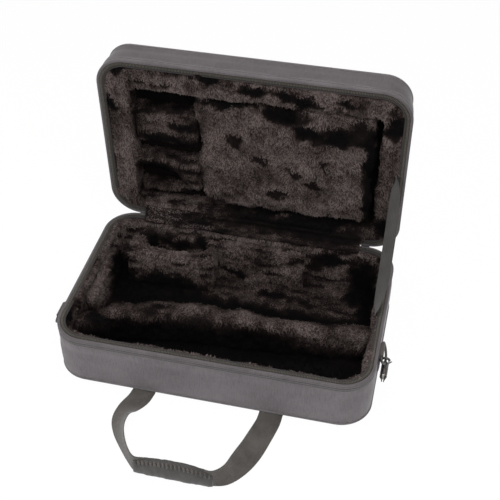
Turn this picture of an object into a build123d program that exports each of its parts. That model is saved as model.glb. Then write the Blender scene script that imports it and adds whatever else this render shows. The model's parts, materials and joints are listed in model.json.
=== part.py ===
from build123d import *
from math import cos, radians, sin
import os

# Soft instrument case with a zipped lid, standing open
# Millimetres. Origin at the centre of the flat bottom, X to the right, Y to the back, Z up.

# Case body
CASE_WIDTH = 430.0
CASE_DEPTH = 270.0
BASE_HEIGHT = 81.0
LID_DEPTH = 45.0
CORNER_RADIUS = 42.0
LID_NARROWING = 6.5
OPEN_ANGLE = 87.5

# Layers of the walls, from the outside in
COVER = 1.2
BOARD = 3.5
PANEL = 3.0
PANEL_EDGE = 2.2
PIPING_RADIUS = 1.3
PIPING_GAP = 0.4
BAND_THICKNESS = 0.9
BAND_HEIGHT = 10.0
SOFT_GAP = 0.3

# Zip
TAPE_THICKNESS = 0.8
TAPE_WIDTH = 11.0
TEETH_INSET = 3.2
TEETH_WIDTH = 4.2
TEETH_HEIGHT = 1.3
TEETH_GAP = 0.15
ZIP_END = CASE_WIDTH / 2 - 52.0
SLIDER_LENGTH = 13.0
SLIDER_WIDTH = 9.0
SLIDER_THICKNESS = 4.4
PULL_LENGTH = 27.0
PULL_WIDTH = 8.0
PULL_THICKNESS = 1.8
BRIDGE_WIRE = 1.6

# Plush-covered foam in the base
FLOOR_PAD = 6.0
WALL_PAD = 10.0
PAD_CROWN = 4.0
BLOCK_TOP_DROP = 8.0
BLOCK_LEFT = -CASE_WIDTH / 2 + 43.0
BLOCK_RIGHT = BLOCK_LEFT + 128.0
BLOCK_THICKNESS_TOP = 56.0
BLOCK_THICKNESS_FOOT = 64.0
BLOCK_ROUND = 7.0
SLOT_LENGTH = 92.0
SLOT_WIDTH = 32.0
SLOT_DEPTH = 36.0
SLOT_FROM_LEFT = 68.0
SLOT_FROM_WALL = 28.0
BACK_PAD_RIGHT = CASE_WIDTH / 2 - 131.0
BACK_PAD_TOP = 20.0
BACK_PAD_FOOT = 27.0
BOLSTER_THICKNESS = 14.0
BOLSTER_SHOULDER = 8.0
BOLSTER_ROUND = 5.0
BOLSTER_FRONT = -40.0
BOLSTER_BACK = CASE_DEPTH / 2 - 47.0
BOLSTER_BULGE_Y = 16.0
BOLSTER_DROP = 11.0
DIVIDER_DROP = 16.0
DIVIDER_ROUND = 9.0

# Divider outline: share of the half length to the right, and place along Y
DIVIDER_BACK = ((-0.66, -30), (-0.30, -15), (0.20, -12))
DIVIDER_BACK_ENDS = (-66, 0)
DIVIDER_FRONT = ((0.485, -37), (0.10, -43), (-0.35, -50), (-0.735, -67))
DIVIDER_FRONT_ENDS = (-92, -24)

# Plush-covered foam in the lid, v from the hinge edge and w from the rim
LID_FLOOR_PAD = 5.0
BORDER_FACE = 3.0
BORDER_CROWN = 5.0
WINDOW_LEFT = -CASE_WIDTH / 2 + 42.0
WINDOW_RIGHT = CASE_WIDTH / 2 - 37.0
WINDOW_HINGE = 24.0
WINDOW_FREE = CASE_DEPTH - 45.0
WINDOW_RADIUS = 8.0
CUSHION_LEFT = WINDOW_LEFT + 95.0
CUSHION_SIDE_GAP = 8.0
CUSHION_TOP_GAP = 6.0
CUSHION_FOOT_GAP = 7.0
CUSHION_FACE = 9.0
CUSHION_CROWN = 5.0
CUSHION_CORNER = 18.0
CUT_MARGIN = 1.0
POCKET_GAP = 1.0
UPPER_BLOCK_FACE = 15.0
UPPER_BLOCK_HIGH = WINDOW_FREE - 35.0
UPPER_BLOCK_LOW = UPPER_BLOCK_HIGH - 60.0
REST_FACE = 8.0
REST_HIGH = UPPER_BLOCK_LOW - 23.0
REST_BAR = 15.0
REST_FOOT = 50.0
REST_SLANT = 5.0
REST_ELBOW = 39.0
REST_ELBOW_DROP = 22.5
LOWER_BLOCK_FACE = 14.0
LOWER_BLOCK_LOW = 36.0
LOWER_BLOCK_HIGH = 54.0
LOWER_BLOCK_RIGHT = WINDOW_LEFT + 75.0
BLOCK_EDGE = 5.0

# Webbing
STRAP_THICKNESS = 1.6
HANDLE_WIDTH = 32.0
HANDLE_SPACING = 176.0
HANDLE_SEWN = 105.0
GRIP_LEFT = -60.0
GRIP_RIGHT = 42.0
GRIP_RISE = 17.5
GRIP_HEIGHT = 34.0
GRIP_THICKNESS = 13.0
GRIP_ROUND = 5.8
GRIP_CROWN = ((-1.0, 0.80), (-0.5, 0.97), (0.5, 0.97), (1.0, 0.80))
HANDLE_REACH = 127.0
LOOP_START = 1.1
LID_HANDLE_FOLD = CASE_DEPTH - 12.0
LID_FOLD_RADIUS = 4.0
STAY_WIDTH = 26.0
STAY_THICKNESS = 1.5
STAY_INSET = 13.0
STAY_ON_LID = 131.0
STAY_ON_BASE = 4.0
STAY_TWIST = 45.0
STAY_BOW = 5.0
STAY_STATIONS = ((0.2, 0.6), (0.4, 1.0), (0.6, 1.0), (0.8, 0.6))

# Cloth at the back hinge
HINGE_CLOTH = 0.9
HINGE_REACH = 19.0
HINGE_LINING_END = ZIP_END - 1.0
HINGE_CLOTH_END = ZIP_END - 3.0

# Folds of the plush gusset: distance in front of the hinge line, and height above the rim
LINING_FOOT = 18.0
LINING_HEEL = 1.0
LINING_BEND = (-0.4, 2.0)
LINING_TOP = (0.3, 19.0)
LINING_FOLDS = ((5.0, 16.0), (3.5, 10.0), (10.0, 8.0), (9.5, 3.0), (LINING_FOOT, 1.0))
LINING_ROUND = 1.2

# Rings on the end walls
LEFT_RING_Y = -78.0
RIGHT_RING_Y = -54.0
RING_Z = BASE_HEIGHT - 10.0
RING_WIRE = 1.7
RING_HALF = 15.5
RING_CORNER = 3.4
RING_TILT = 19.0
RING_CLEARANCE = 0.3
TAB_WIDTH = 25.0
TAB_THICKNESS = 1.4
TAB_FOOT = RING_Z - 29.0
TAB_SHOULDER = RING_Z - 11.0
TAB_BACK_DROP = 1.0

# Snap hook on the right ring
HOOK_WIRE = 1.6
HOOK_RADIUS = 5.5
HOOK_SWEEP = 250.0
BARREL_RADIUS = 3.4
BARREL_LENGTH = 7.0
POST_RADIUS = 1.3
EYE_WIRE = 1.3
EYE_DROP = 7.0
STRAP_END_PLY = 2.6
STRAP_END_DROP = 11.0
GATE_RADIUS = 0.9
GATE_LENGTH = 5.6
THUMB_LENGTH = 5.5
THUMB_LEAN = 42.0
POST_SHY = 1.5

FLOOR_TOP = PANEL + BOARD
PAD_TOP = FLOOR_TOP + FLOOR_PAD
BOARD_INSET = COVER + BOARD
PAD_INSET = BOARD_INSET + SOFT_GAP
INNER_INSET = PAD_INSET + WALL_PAD
INNER_X = CASE_WIDTH / 2 - INNER_INSET
INNER_Y = CASE_DEPTH / 2 - INNER_INSET
RIM_SEAT = TEETH_GAP + TEETH_HEIGHT + TAPE_THICKNESS
HALF_DEPTH = CASE_DEPTH / 2
OPEN_COS = cos(radians(OPEN_ANGLE))
OPEN_SIN = sin(radians(OPEN_ANGLE))


def lid_point(x, v, w):
    """Point on the open lid: x across, v from the hinge to the free edge, w from the rim outwards."""
    return (
        x,
        HALF_DEPTH - v * OPEN_COS + w * OPEN_SIN,
        BASE_HEIGHT + v * OPEN_SIN + w * OPEN_COS,
    )


LID_V = (0, -OPEN_COS, OPEN_SIN)
LID_W = (0, OPEN_SIN, OPEN_COS)
BASE = Plane.XY
LID = Plane(origin=lid_point(0, HALF_DEPTH, 0), x_dir=(1, 0, 0), z_dir=LID_W)
LID_SIDE = Plane(origin=lid_point(0, 0, 0), x_dir=LID_V, z_dir=(-1, 0, 0))
LID_END = Plane(origin=lid_point(0, 0, 0), x_dir=(1, 0, 0), z_dir=LID_V)


os.makedirs("parts", exist_ok=True)


def save(piece, name):
    """Label the finished piece and write it."""
    piece.part.label = name
    export_step(piece.part, f"parts/{name}.step")


def outline(inset, mode=Mode.ADD, narrowing=0.0):
    """Plan outline of the case, moved inwards by inset, with the ends moved in by narrowing too."""
    RectangleRounded(
        CASE_WIDTH - 2 * (inset + narrowing),
        CASE_DEPTH - 2 * inset,
        CORNER_RADIUS - inset - narrowing,
        mode=mode,
    )


def narrowing_at(frame, level):
    """How far the end walls lean in at a level: the lid's do, the base's are upright."""
    return LID_NARROWING * level / LID_DEPTH if frame is LID else 0.0


def leaning_solid(frame, low, high, inset):
    """Solid between two levels of the case, inside the outline moved inwards by inset."""
    with BuildPart() as solid:
        for level in (low, high):
            with BuildSketch(frame.offset(level)):
                outline(inset, narrowing=narrowing_at(frame, level))
        loft()
    return solid.part


def make_wall(frame, low, high, outer, inner):
    """Closed wall whose ends lean in with the lid."""
    with BuildPart() as wall:
        add(leaning_solid(frame, low, high, outer))
        add(leaning_solid(frame, low, high, inner), mode=Mode.SUBTRACT)
    return wall


def make_ring(frame, low, high, outer, inner, round_by=0.0):
    """Closed ring that follows the walls, with its outer edges rounded."""
    narrowing = narrowing_at(frame, (low + high) / 2)
    with BuildPart() as ring:
        with BuildSketch(frame.offset(low)):
            outline(outer, narrowing=narrowing)
            outline(inner, Mode.SUBTRACT, narrowing)
        extrude(amount=high - low)
        if round_by:
            levels = ring.faces().sort_by(Axis(frame.origin, frame.z_dir))
            fillet(levels[0].outer_wire().edges() + levels[-1].outer_wire().edges(), radius=round_by)
    return ring


def hinge_opening(frame, low, high):
    """Block over the part of a ring that lies between the two ends of the zip."""
    with BuildPart() as opening:
        with BuildSketch(frame.offset(low)):
            with Locations((0, HALF_DEPTH)):
                Rectangle(2 * ZIP_END, 2 * (TAPE_WIDTH + BAND_THICKNESS))
        extrude(amount=high - low)
    return opening.part


def make_open_ring(frame, low, high, outer, inner):
    """Ring that stops short of the hinge, between the two ends of the zip."""
    with BuildPart() as ring:
        add(make_ring(frame, low, high, outer, inner).part)
        add(hinge_opening(frame, low, high), mode=Mode.SUBTRACT)
    return ring


def make_band(frame, low, high):
    """Sewn band around the outside of the rim, open at the hinge."""
    with BuildPart() as band:
        add(make_wall(frame, low, high, -BAND_THICKNESS, 0).part)
        add(hinge_opening(frame, low, high), mode=Mode.SUBTRACT)
    return band


def make_tray(frame, low, high):
    """Stiff board tray with a floor on the outside face."""
    hollow_low = low + BOARD if frame is BASE else low
    with BuildPart() as tray:
        add(leaning_solid(frame, low, high, COVER))
        hollow = leaning_solid(frame, hollow_low, hollow_low + high - low - BOARD, BOARD_INSET)
        add(hollow, mode=Mode.SUBTRACT)
    return tray


def make_panel(frame, low, high, edge_height):
    """Padded outer panel with a soft outer edge."""
    with BuildPart() as panel:
        with BuildSketch(frame.offset(low)):
            outline(0, narrowing=narrowing_at(frame, low))
        extrude(amount=high - low)
        sorted_faces = panel.faces().sort_by(Axis(frame.origin, frame.z_dir))
        outer_face = sorted_faces[0] if edge_height == low else sorted_faces[-1]
        fillet(outer_face.edges(), radius=PANEL_EDGE)
    return panel


# Boards, panels and covers
base_board = make_tray(BASE, PANEL, BASE_HEIGHT - RIM_SEAT)
save(base_board, "base_board")

lid_board = make_tray(LID, RIM_SEAT, LID_DEPTH - PANEL)
save(lid_board, "lid_board")

with BuildPart() as base_bottom_panel:
    add(make_panel(BASE, 0, PANEL, 0).part)
    for side in (-1, 1):
        with BuildSketch(BASE):
            with Locations((side * HANDLE_SPACING / 2, -HALF_DEPTH + HANDLE_SEWN / 2)):
                Rectangle(HANDLE_WIDTH, HANDLE_SEWN)
        extrude(amount=STRAP_THICKNESS, mode=Mode.SUBTRACT)
save(base_bottom_panel, "base_bottom_panel")

lid_top_panel = make_panel(LID, LID_DEPTH - PANEL, LID_DEPTH, LID_DEPTH)
save(lid_top_panel, "lid_top_panel")

base_side_cover = make_wall(BASE, PANEL, BASE_HEIGHT - RIM_SEAT, 0, COVER)
save(base_side_cover, "base_side_cover")

lid_side_cover = make_wall(LID, RIM_SEAT, LID_DEPTH - PANEL, 0, COVER)
save(lid_side_cover, "lid_side_cover")

PIPING_LOW = PANEL + PIPING_GAP
PIPING_HIGH = PIPING_LOW + 2 * PIPING_RADIUS
PIPING_ROUND = 0.9 * PIPING_RADIUS
base_piping = make_ring(BASE, PIPING_LOW, PIPING_HIGH, -PIPING_RADIUS, 0, PIPING_ROUND)
save(base_piping, "base_piping")

LID_PIPING_LOW = LID_DEPTH - PIPING_HIGH
LID_PIPING_HIGH = LID_DEPTH - PIPING_LOW
with BuildPart() as lid_piping:
    add(make_ring(LID, LID_PIPING_LOW, LID_PIPING_HIGH, -PIPING_RADIUS, PIPING_RADIUS, PIPING_ROUND).part)
    add(leaning_solid(LID, LID_PIPING_LOW, LID_PIPING_HIGH, 0), mode=Mode.SUBTRACT)
save(lid_piping, "lid_piping")

# Sewn bands, zip tapes and zip teeth
RIM_TOP = BASE_HEIGHT - RIM_SEAT
base_rim_band = make_band(BASE, RIM_TOP - BAND_HEIGHT, RIM_TOP)
save(base_rim_band, "base_rim_band")

lid_rim_band = make_band(LID, RIM_SEAT, RIM_SEAT + BAND_HEIGHT)
save(lid_rim_band, "lid_rim_band")

TAPE_INSET = TAPE_WIDTH - BAND_THICKNESS
TAPE_TOP = RIM_TOP + TAPE_THICKNESS
base_zip_tape = make_open_ring(BASE, RIM_TOP, TAPE_TOP, -BAND_THICKNESS, TAPE_INSET)
save(base_zip_tape, "base_zip_tape")

TAPE_FACE = RIM_SEAT - TAPE_THICKNESS
lid_zip_tape = make_open_ring(LID, TAPE_FACE, RIM_SEAT, -BAND_THICKNESS, TAPE_INSET)
save(lid_zip_tape, "lid_zip_tape")

TEETH_END = TEETH_INSET + TEETH_WIDTH
base_zip_teeth = make_open_ring(BASE, TAPE_TOP, TAPE_TOP + TEETH_HEIGHT, TEETH_INSET, TEETH_END)
save(base_zip_teeth, "base_zip_teeth")

lid_zip_teeth = make_open_ring(LID, TEETH_GAP, TEETH_GAP + TEETH_HEIGHT, TEETH_INSET, TEETH_END)
save(lid_zip_teeth, "lid_zip_teeth")

# Plush floor and wall padding of the base
with BuildPart() as base_floor_pad:
    with BuildSketch(Plane.XY.offset(FLOOR_TOP)):
        outline(PAD_INSET)
    extrude(amount=FLOOR_PAD)
save(base_floor_pad, "base_floor_pad")

WALL_PAD_TOP = RIM_TOP - SOFT_GAP
with BuildPart() as base_wall_padding:
    with BuildSketch(Plane.XY.offset(PAD_TOP)):
        outline(PAD_INSET)
        outline(INNER_INSET, Mode.SUBTRACT)
    extrude(amount=WALL_PAD_TOP - PAD_TOP)
    rim_face = base_wall_padding.faces().sort_by(Axis.Z)[-1]
    fillet(rim_face.inner_wires()[0].edges(), radius=PAD_CROWN)
save(base_wall_padding, "base_wall_padding")

# Back block with the long accessory slot
BLOCK_TOP = RIM_TOP - BLOCK_TOP_DROP
BLOCK_BACK = INNER_Y - SOFT_GAP
with BuildPart() as accessory_block:
    with BuildSketch(Plane.YZ.offset(BLOCK_LEFT)):
        with BuildLine():
            Polyline(
                (INNER_Y - BLOCK_THICKNESS_FOOT, PAD_TOP),
                (INNER_Y - BLOCK_THICKNESS_TOP, BLOCK_TOP),
                (BLOCK_BACK, BLOCK_TOP),
                (BLOCK_BACK, PAD_TOP),
                close=True,
            )
        make_face()
    extrude(amount=BLOCK_RIGHT - BLOCK_LEFT)
    fillet(accessory_block.faces().sort_by(Axis.Z)[-1].edges(), radius=BLOCK_ROUND)
    with BuildSketch(Plane.XY.offset(BLOCK_TOP - SLOT_DEPTH)):
        with Locations((BLOCK_LEFT + SLOT_FROM_LEFT, INNER_Y - SLOT_FROM_WALL)):
            SlotOverall(SLOT_LENGTH, SLOT_WIDTH)
    extrude(amount=SLOT_DEPTH, mode=Mode.SUBTRACT)
save(accessory_block, "accessory_block")

# Back pad that keeps the horn clear of the hinge
with BuildPart() as back_pad:
    with BuildSketch(Plane.YZ.offset(BLOCK_RIGHT + SOFT_GAP)):
        with BuildLine():
            Polyline(
                (BLOCK_BACK - BACK_PAD_FOOT, PAD_TOP),
                (BLOCK_BACK - BACK_PAD_TOP, BLOCK_TOP),
                (BLOCK_BACK, BLOCK_TOP),
                (BLOCK_BACK, PAD_TOP),
                close=True,
            )
        make_face()
    extrude(amount=BACK_PAD_RIGHT - BLOCK_RIGHT - SOFT_GAP)
    fillet(back_pad.faces().sort_by(Axis.Z)[-1].edges(), radius=BLOCK_ROUND)
save(back_pad, "back_pad")

# Bolster on the left wall
BOLSTER_OUT = -INNER_X + SOFT_GAP
BOLSTER_IN = BOLSTER_OUT + BOLSTER_THICKNESS
BOLSTER_EDGE = BOLSTER_OUT + BOLSTER_SHOULDER
with BuildPart() as left_bolster:
    with BuildSketch(Plane.XY.offset(PAD_TOP)):
        with BuildLine():
            Line((BOLSTER_OUT, BOLSTER_BACK), (BOLSTER_OUT, BOLSTER_FRONT))
            Line((BOLSTER_OUT, BOLSTER_FRONT), (BOLSTER_EDGE, BOLSTER_FRONT))
            ThreePointArc(
                (BOLSTER_EDGE, BOLSTER_FRONT),
                (BOLSTER_IN, BOLSTER_BULGE_Y),
                (BOLSTER_EDGE, BOLSTER_BACK),
            )
            Line((BOLSTER_EDGE, BOLSTER_BACK), (BOLSTER_OUT, BOLSTER_BACK))
        make_face()
    extrude(amount=RIM_TOP - BOLSTER_DROP - PAD_TOP)
    bolster_top = left_bolster.faces().sort_by(Axis.Z)[-1]
    fillet(bolster_top.edges().filter_by(GeomType.CIRCLE), radius=BOLSTER_ROUND)
save(left_bolster, "left_bolster")

# Curved divider between the horn bay and the front bay
DIVIDER_END = INNER_X - SOFT_GAP


def divider_points(places):
    """Points of one long side of the divider."""
    return [(share * DIVIDER_END, y) for share, y in places]


divider_back = divider_points([(-1, DIVIDER_BACK_ENDS[0]), *DIVIDER_BACK, (1, DIVIDER_BACK_ENDS[1])])
divider_front = divider_points([(1, DIVIDER_FRONT_ENDS[1]), *DIVIDER_FRONT, (-1, DIVIDER_FRONT_ENDS[0])])
with BuildPart() as divider:
    with BuildSketch(Plane.XY.offset(PAD_TOP)):
        with BuildLine():
            Spline(*divider_back)
            Line(divider_back[-1], divider_front[0])
            Spline(*divider_front)
            Line(divider_front[-1], divider_back[0])
        make_face()
    extrude(amount=RIM_TOP - DIVIDER_DROP - PAD_TOP)
    long_edges = divider.faces().sort_by(Axis.Z)[-1].edges().sort_by(SortBy.LENGTH)[-2:]
    fillet(long_edges, radius=DIVIDER_ROUND)
save(divider, "divider")

# Plush back panel and border of the lid
LID_PAD_BACK = LID_DEPTH - PANEL - BOARD
LID_PAD_FACE = LID_PAD_BACK - LID_FLOOR_PAD
with BuildPart() as lid_back_pad:
    with BuildSketch(LID.offset(LID_PAD_FACE)):
        outline(PAD_INSET, narrowing=narrowing_at(LID, LID_PAD_BACK))
    extrude(amount=LID_FLOOR_PAD)
save(lid_back_pad, "lid_back_pad")

WINDOW_WIDTH = WINDOW_RIGHT - WINDOW_LEFT
WINDOW_HEIGHT = WINDOW_FREE - WINDOW_HINGE
WINDOW_CENTRE = ((WINDOW_LEFT + WINDOW_RIGHT) / 2, HALF_DEPTH - (WINDOW_HINGE + WINDOW_FREE) / 2)
with BuildPart() as lid_border:
    add(leaning_solid(LID, BORDER_FACE, LID_PAD_FACE, PAD_INSET))
    with BuildSketch(LID.offset(BORDER_FACE)):
        with Locations(WINDOW_CENTRE):
            RectangleRounded(WINDOW_WIDTH, WINDOW_HEIGHT, WINDOW_RADIUS)
    extrude(amount=LID_PAD_FACE - BORDER_FACE, mode=Mode.SUBTRACT)
    border_face = lid_border.faces().sort_by(Axis(LID.origin, LID.z_dir))[0]
    fillet(border_face.inner_wires()[0].edges(), radius=BORDER_CROWN)
save(lid_border, "lid_border")

# Large crowned cushion of the lid
CUSHION_RIGHT = WINDOW_RIGHT - CUSHION_SIDE_GAP
CUSHION_LOW = WINDOW_HINGE + CUSHION_FOOT_GAP
CUSHION_HIGH = WINDOW_FREE - CUSHION_TOP_GAP
CUSHION_EDGE = CUSHION_FACE + CUSHION_CROWN
CUSHION_MID_X = (CUSHION_LEFT + CUSHION_RIGHT) / 2
CUSHION_MID_V = (CUSHION_LOW + CUSHION_HIGH) / 2
with BuildPart() as lid_cushion:
    with BuildSketch(LID_END.offset(CUSHION_LOW)):
        with BuildLine():
            Line((CUSHION_LEFT, CUSHION_EDGE), (CUSHION_LEFT, LID_PAD_FACE))
            Line((CUSHION_LEFT, LID_PAD_FACE), (CUSHION_RIGHT, LID_PAD_FACE))
            Line((CUSHION_RIGHT, LID_PAD_FACE), (CUSHION_RIGHT, CUSHION_EDGE))
            ThreePointArc(
                (CUSHION_RIGHT, CUSHION_EDGE),
                (CUSHION_MID_X, CUSHION_FACE),
                (CUSHION_LEFT, CUSHION_EDGE),
            )
        make_face()
    extrude(amount=CUSHION_HIGH - CUSHION_LOW)
    with BuildSketch(LID_SIDE.offset(-CUSHION_RIGHT - CUT_MARGIN)):
        with BuildLine():
            Line((CUSHION_LOW, CUSHION_EDGE), (CUSHION_LOW, LID_PAD_FACE))
            Line((CUSHION_LOW, LID_PAD_FACE), (CUSHION_HIGH, LID_PAD_FACE))
            Line((CUSHION_HIGH, LID_PAD_FACE), (CUSHION_HIGH, CUSHION_EDGE))
            ThreePointArc(
                (CUSHION_HIGH, CUSHION_EDGE),
                (CUSHION_MID_V, CUSHION_FACE),
                (CUSHION_LOW, CUSHION_EDGE),
            )
        make_face()
    extrude(amount=CUSHION_RIGHT - CUSHION_LEFT + 2 * CUT_MARGIN, mode=Mode.INTERSECT)
    corner_edges = lid_cushion.edges().filter_by(Axis(LID.origin, LID.z_dir))
    fillet(corner_edges.sort_by(Axis.Z)[:2], radius=CUSHION_CORNER)
save(lid_cushion, "lid_cushion")


def lid_block(points, face, round_by):
    """Foam block of the lid's left pocket, with x and v points and rounded face edges."""
    with BuildPart() as block:
        with BuildSketch(LID.offset(face)):
            with BuildLine():
                Polyline([(x, HALF_DEPTH - v) for x, v in points], close=True)
            make_face()
        extrude(amount=LID_PAD_FACE - face)
        front = block.faces().sort_by(Axis(LID.origin, LID.z_dir))[0]
        fillet(front.edges(), radius=round_by)
    return block


POCKET_LEFT = WINDOW_LEFT + POCKET_GAP
POCKET_RIGHT = CUSHION_LEFT - POCKET_GAP
upper_pocket_block = lid_block(
    [
        (POCKET_LEFT, UPPER_BLOCK_LOW),
        (POCKET_RIGHT, UPPER_BLOCK_LOW),
        (POCKET_RIGHT, UPPER_BLOCK_HIGH),
        (POCKET_LEFT, UPPER_BLOCK_HIGH),
    ],
    UPPER_BLOCK_FACE,
    BLOCK_EDGE,
)
save(upper_pocket_block, "upper_pocket_block")

mouthpiece_rest = lid_block(
    [
        (POCKET_LEFT, REST_HIGH),
        (POCKET_RIGHT, REST_HIGH),
        (POCKET_RIGHT, REST_FOOT),
        (POCKET_RIGHT - REST_BAR, REST_FOOT + REST_SLANT),
        (POCKET_RIGHT - REST_ELBOW, REST_HIGH - REST_ELBOW_DROP),
        (POCKET_LEFT, REST_HIGH - REST_BAR),
    ],
    REST_FACE,
    BLOCK_EDGE,
)
save(mouthpiece_rest, "mouthpiece_rest")

lower_pocket_block = lid_block(
    [
        (POCKET_LEFT, LOWER_BLOCK_LOW),
        (LOWER_BLOCK_RIGHT, LOWER_BLOCK_LOW),
        (LOWER_BLOCK_RIGHT, LOWER_BLOCK_HIGH),
        (POCKET_LEFT, LOWER_BLOCK_HIGH),
    ],
    LOWER_BLOCK_FACE,
    BLOCK_EDGE,
)
save(lower_pocket_block, "lower_pocket_block")

# Cloth hinge outside and plush gusset inside
with BuildPart() as hinge_cloth:
    with BuildSketch(Plane.YZ.offset(-HINGE_CLOTH_END)):
        fold = HINGE_CLOTH * (1 - OPEN_COS) / OPEN_SIN
        with BuildLine():
            Polyline(
                (HALF_DEPTH, BASE_HEIGHT - HINGE_REACH),
                (HALF_DEPTH + HINGE_CLOTH, BASE_HEIGHT - HINGE_REACH),
                lid_point(0, -HINGE_CLOTH, fold)[1:],
                lid_point(0, -HINGE_CLOTH, HINGE_REACH)[1:],
                lid_point(0, 0, HINGE_REACH)[1:],
                (HALF_DEPTH, BASE_HEIGHT),
                close=True,
            )
        make_face()
    extrude(amount=2 * HINGE_CLOTH_END)
save(hinge_cloth, "hinge_cloth")

with BuildPart() as hinge_lining:
    with BuildSketch(Plane.YZ.offset(-HINGE_LINING_END)) as hinge_lining_profile:
        lining_low = WALL_PAD_TOP + SOFT_GAP
        folds = [(HALF_DEPTH - ahead, BASE_HEIGHT + height) for ahead, height in LINING_FOLDS]
        with BuildLine():
            Polyline(
                (HALF_DEPTH - LINING_FOOT, lining_low),
                (HALF_DEPTH - LINING_HEEL, lining_low),
                (HALF_DEPTH - LINING_BEND[0], BASE_HEIGHT + LINING_BEND[1]),
                (HALF_DEPTH - LINING_TOP[0], BASE_HEIGHT + LINING_TOP[1]),
                *folds,
                close=True,
            )
        make_face()
        fold_points = hinge_lining_profile.vertices().sort_by(Axis.Y)[:7]
        fillet(fold_points.filter_by(lambda point: point.Z > BASE_HEIGHT), radius=LINING_ROUND)
    extrude(amount=2 * HINGE_LINING_END)
save(hinge_lining, "hinge_lining")

# Stay strap on the right, from the lid's rim to the base's rim
STAY_X = CASE_WIDTH / 2 - STAY_INSET
stay_top = Vector(*lid_point(STAY_X, STAY_ON_LID, BORDER_FACE - SOFT_GAP))
stay_foot = Vector(STAY_X, STAY_ON_BASE, WALL_PAD_TOP + SOFT_GAP)
stay_run = (stay_foot - stay_top).normalized()
stay_across = Vector(1, 0, 0).cross(stay_run)
with BuildPart() as stay_strap:
    with BuildSketch(Plane(origin=stay_top, x_dir=LID_V, z_dir=-LID.z_dir)):
        Rectangle(STAY_WIDTH / abs(stay_across.dot(Vector(*LID_V))), STAY_THICKNESS)
    for share, turn in STAY_STATIONS:
        angle = radians(turn * STAY_TWIST)
        across = -stay_across * cos(angle) + Vector(1, 0, 0) * sin(angle)
        bow = Vector(STAY_BOW * 4 * share * (1 - share), 0, 0)
        centre = stay_top + (stay_foot - stay_top) * share + bow
        with BuildSketch(Plane(origin=centre, x_dir=across, z_dir=stay_run)):
            Rectangle(STAY_WIDTH, STAY_THICKNESS)
    with BuildSketch(Plane(origin=stay_foot, x_dir=(0, -1, 0), z_dir=(0, 0, -1))):
        Rectangle(STAY_WIDTH / abs(stay_across.Y), STAY_THICKNESS)
    loft(ruled=True)
save(stay_strap, "stay_strap")

# Webbing tails sewn to the bottom panel and to the lid's top panel
with BuildPart() as base_handle_tails:
    with BuildSketch(Plane.XY):
        with GridLocations(HANDLE_SPACING, 1, 2, 1):
            with Locations((0, -HALF_DEPTH + HANDLE_SEWN / 2)):
                Rectangle(HANDLE_WIDTH, HANDLE_SEWN)
    extrude(amount=STRAP_THICKNESS)
save(base_handle_tails, "base_handle_tails")

with BuildPart() as lid_handle_tails:
    with BuildSketch(LID.offset(LID_DEPTH)):
        with GridLocations(HANDLE_SPACING, 1, 2, 1):
            with Locations((0, HALF_DEPTH - LID_HANDLE_FOLD + HANDLE_SEWN / 2)):
                Rectangle(HANDLE_WIDTH, HANDLE_SEWN)
    extrude(amount=STRAP_THICKNESS)
save(lid_handle_tails, "lid_handle_tails")

# Handle loops: x across, reach away from the fold, rise off the panel
# Each station is the distance from the middle, reach, rise, heading and lean in degrees
HALF_SPACING = HANDLE_SPACING / 2
GRIP_MIDDLE = (GRIP_LEFT + GRIP_RIGHT) / 2
LEFT_LEG = (
    (HALF_SPACING, 0.0, 0.8, 0.0, 0.0),
    (91.0, 15.0, 1.4, 16.0, 2.0),
    (97.5, 33.0, 4.6, 18.0, 10.0),
    (101.0, 52.0, 9.4, 2.0, 30.0),
    (96.5, 73.0, 14.0, -14.0, 54.0),
    (87.5, 93.0, 16.6, -32.0, 74.0),
    (74.0, 113.0, 17.2, -56.0, 86.0),
    (-GRIP_LEFT, HANDLE_REACH, GRIP_RISE, -90.0, 90.0),
)
RIGHT_LEG = (
    (HALF_SPACING, 0.0, 0.8, 0.0, 0.0),
    (87.0, 16.0, 1.3, -5.0, 2.0),
    (82.0, 42.0, 4.0, -11.0, 9.0),
    (76.0, 70.0, 8.0, -16.0, 22.0),
    (67.5, 96.0, 13.0, -30.0, 46.0),
    (56.5, 117.0, 16.4, -56.0, 72.0),
    (GRIP_RIGHT, HANDLE_REACH, GRIP_RISE, -90.0, 90.0),
)


def base_loop_point(x, reach, rise):
    """Place on the floor in front of the base."""
    return Vector(x, -HALF_DEPTH - LOOP_START - reach, rise)


def lid_loop_point(x, reach, rise):
    """Place behind the open lid, hanging down from the fold near the free edge."""
    fold_rise = LID_DEPTH + 2 * LID_FOLD_RADIUS
    return Vector(*lid_point(x, LID_HANDLE_FOLD - reach, fold_rise + rise))


def make_leg(place, side):
    """One leg of webbing that twists from flat to upright, as a closed solid."""
    origin = place(0, 0, 0)
    x_way = Vector(1, 0, 0)
    reach_way = place(0, 1, 0) - origin
    rise_way = place(0, 0, 1) - origin
    with BuildPart() as leg:
        for x, reach, rise, heading, lean in RIGHT_LEG if side > 0 else LEFT_LEG:
            turn = radians(heading)
            tilt = radians(lean)
            along = reach_way * cos(turn) + x_way * (side * sin(turn))
            level = x_way * cos(turn) - reach_way * (side * sin(turn))
            across = level * cos(tilt) - rise_way * (side * sin(tilt))
            with BuildSketch(Plane(origin=place(side * x, reach, rise), x_dir=across, z_dir=along)):
                Rectangle(HANDLE_WIDTH, STRAP_THICKNESS)
        loft(ruled=True)
    return leg.part


with BuildPart() as base_handle_strap:
    for side in (-1, 1):
        add(make_leg(base_loop_point, side))
        start = base_loop_point(side * HALF_SPACING - HANDLE_WIDTH / 2, 0, STRAP_THICKNESS / 2)
        with BuildSketch(Plane(origin=start, x_dir=(0, 1, 0), z_dir=(1, 0, 0))):
            Circle(STRAP_THICKNESS / 2)
        extrude(amount=HANDLE_WIDTH)
save(base_handle_strap, "base_handle_strap")


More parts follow.
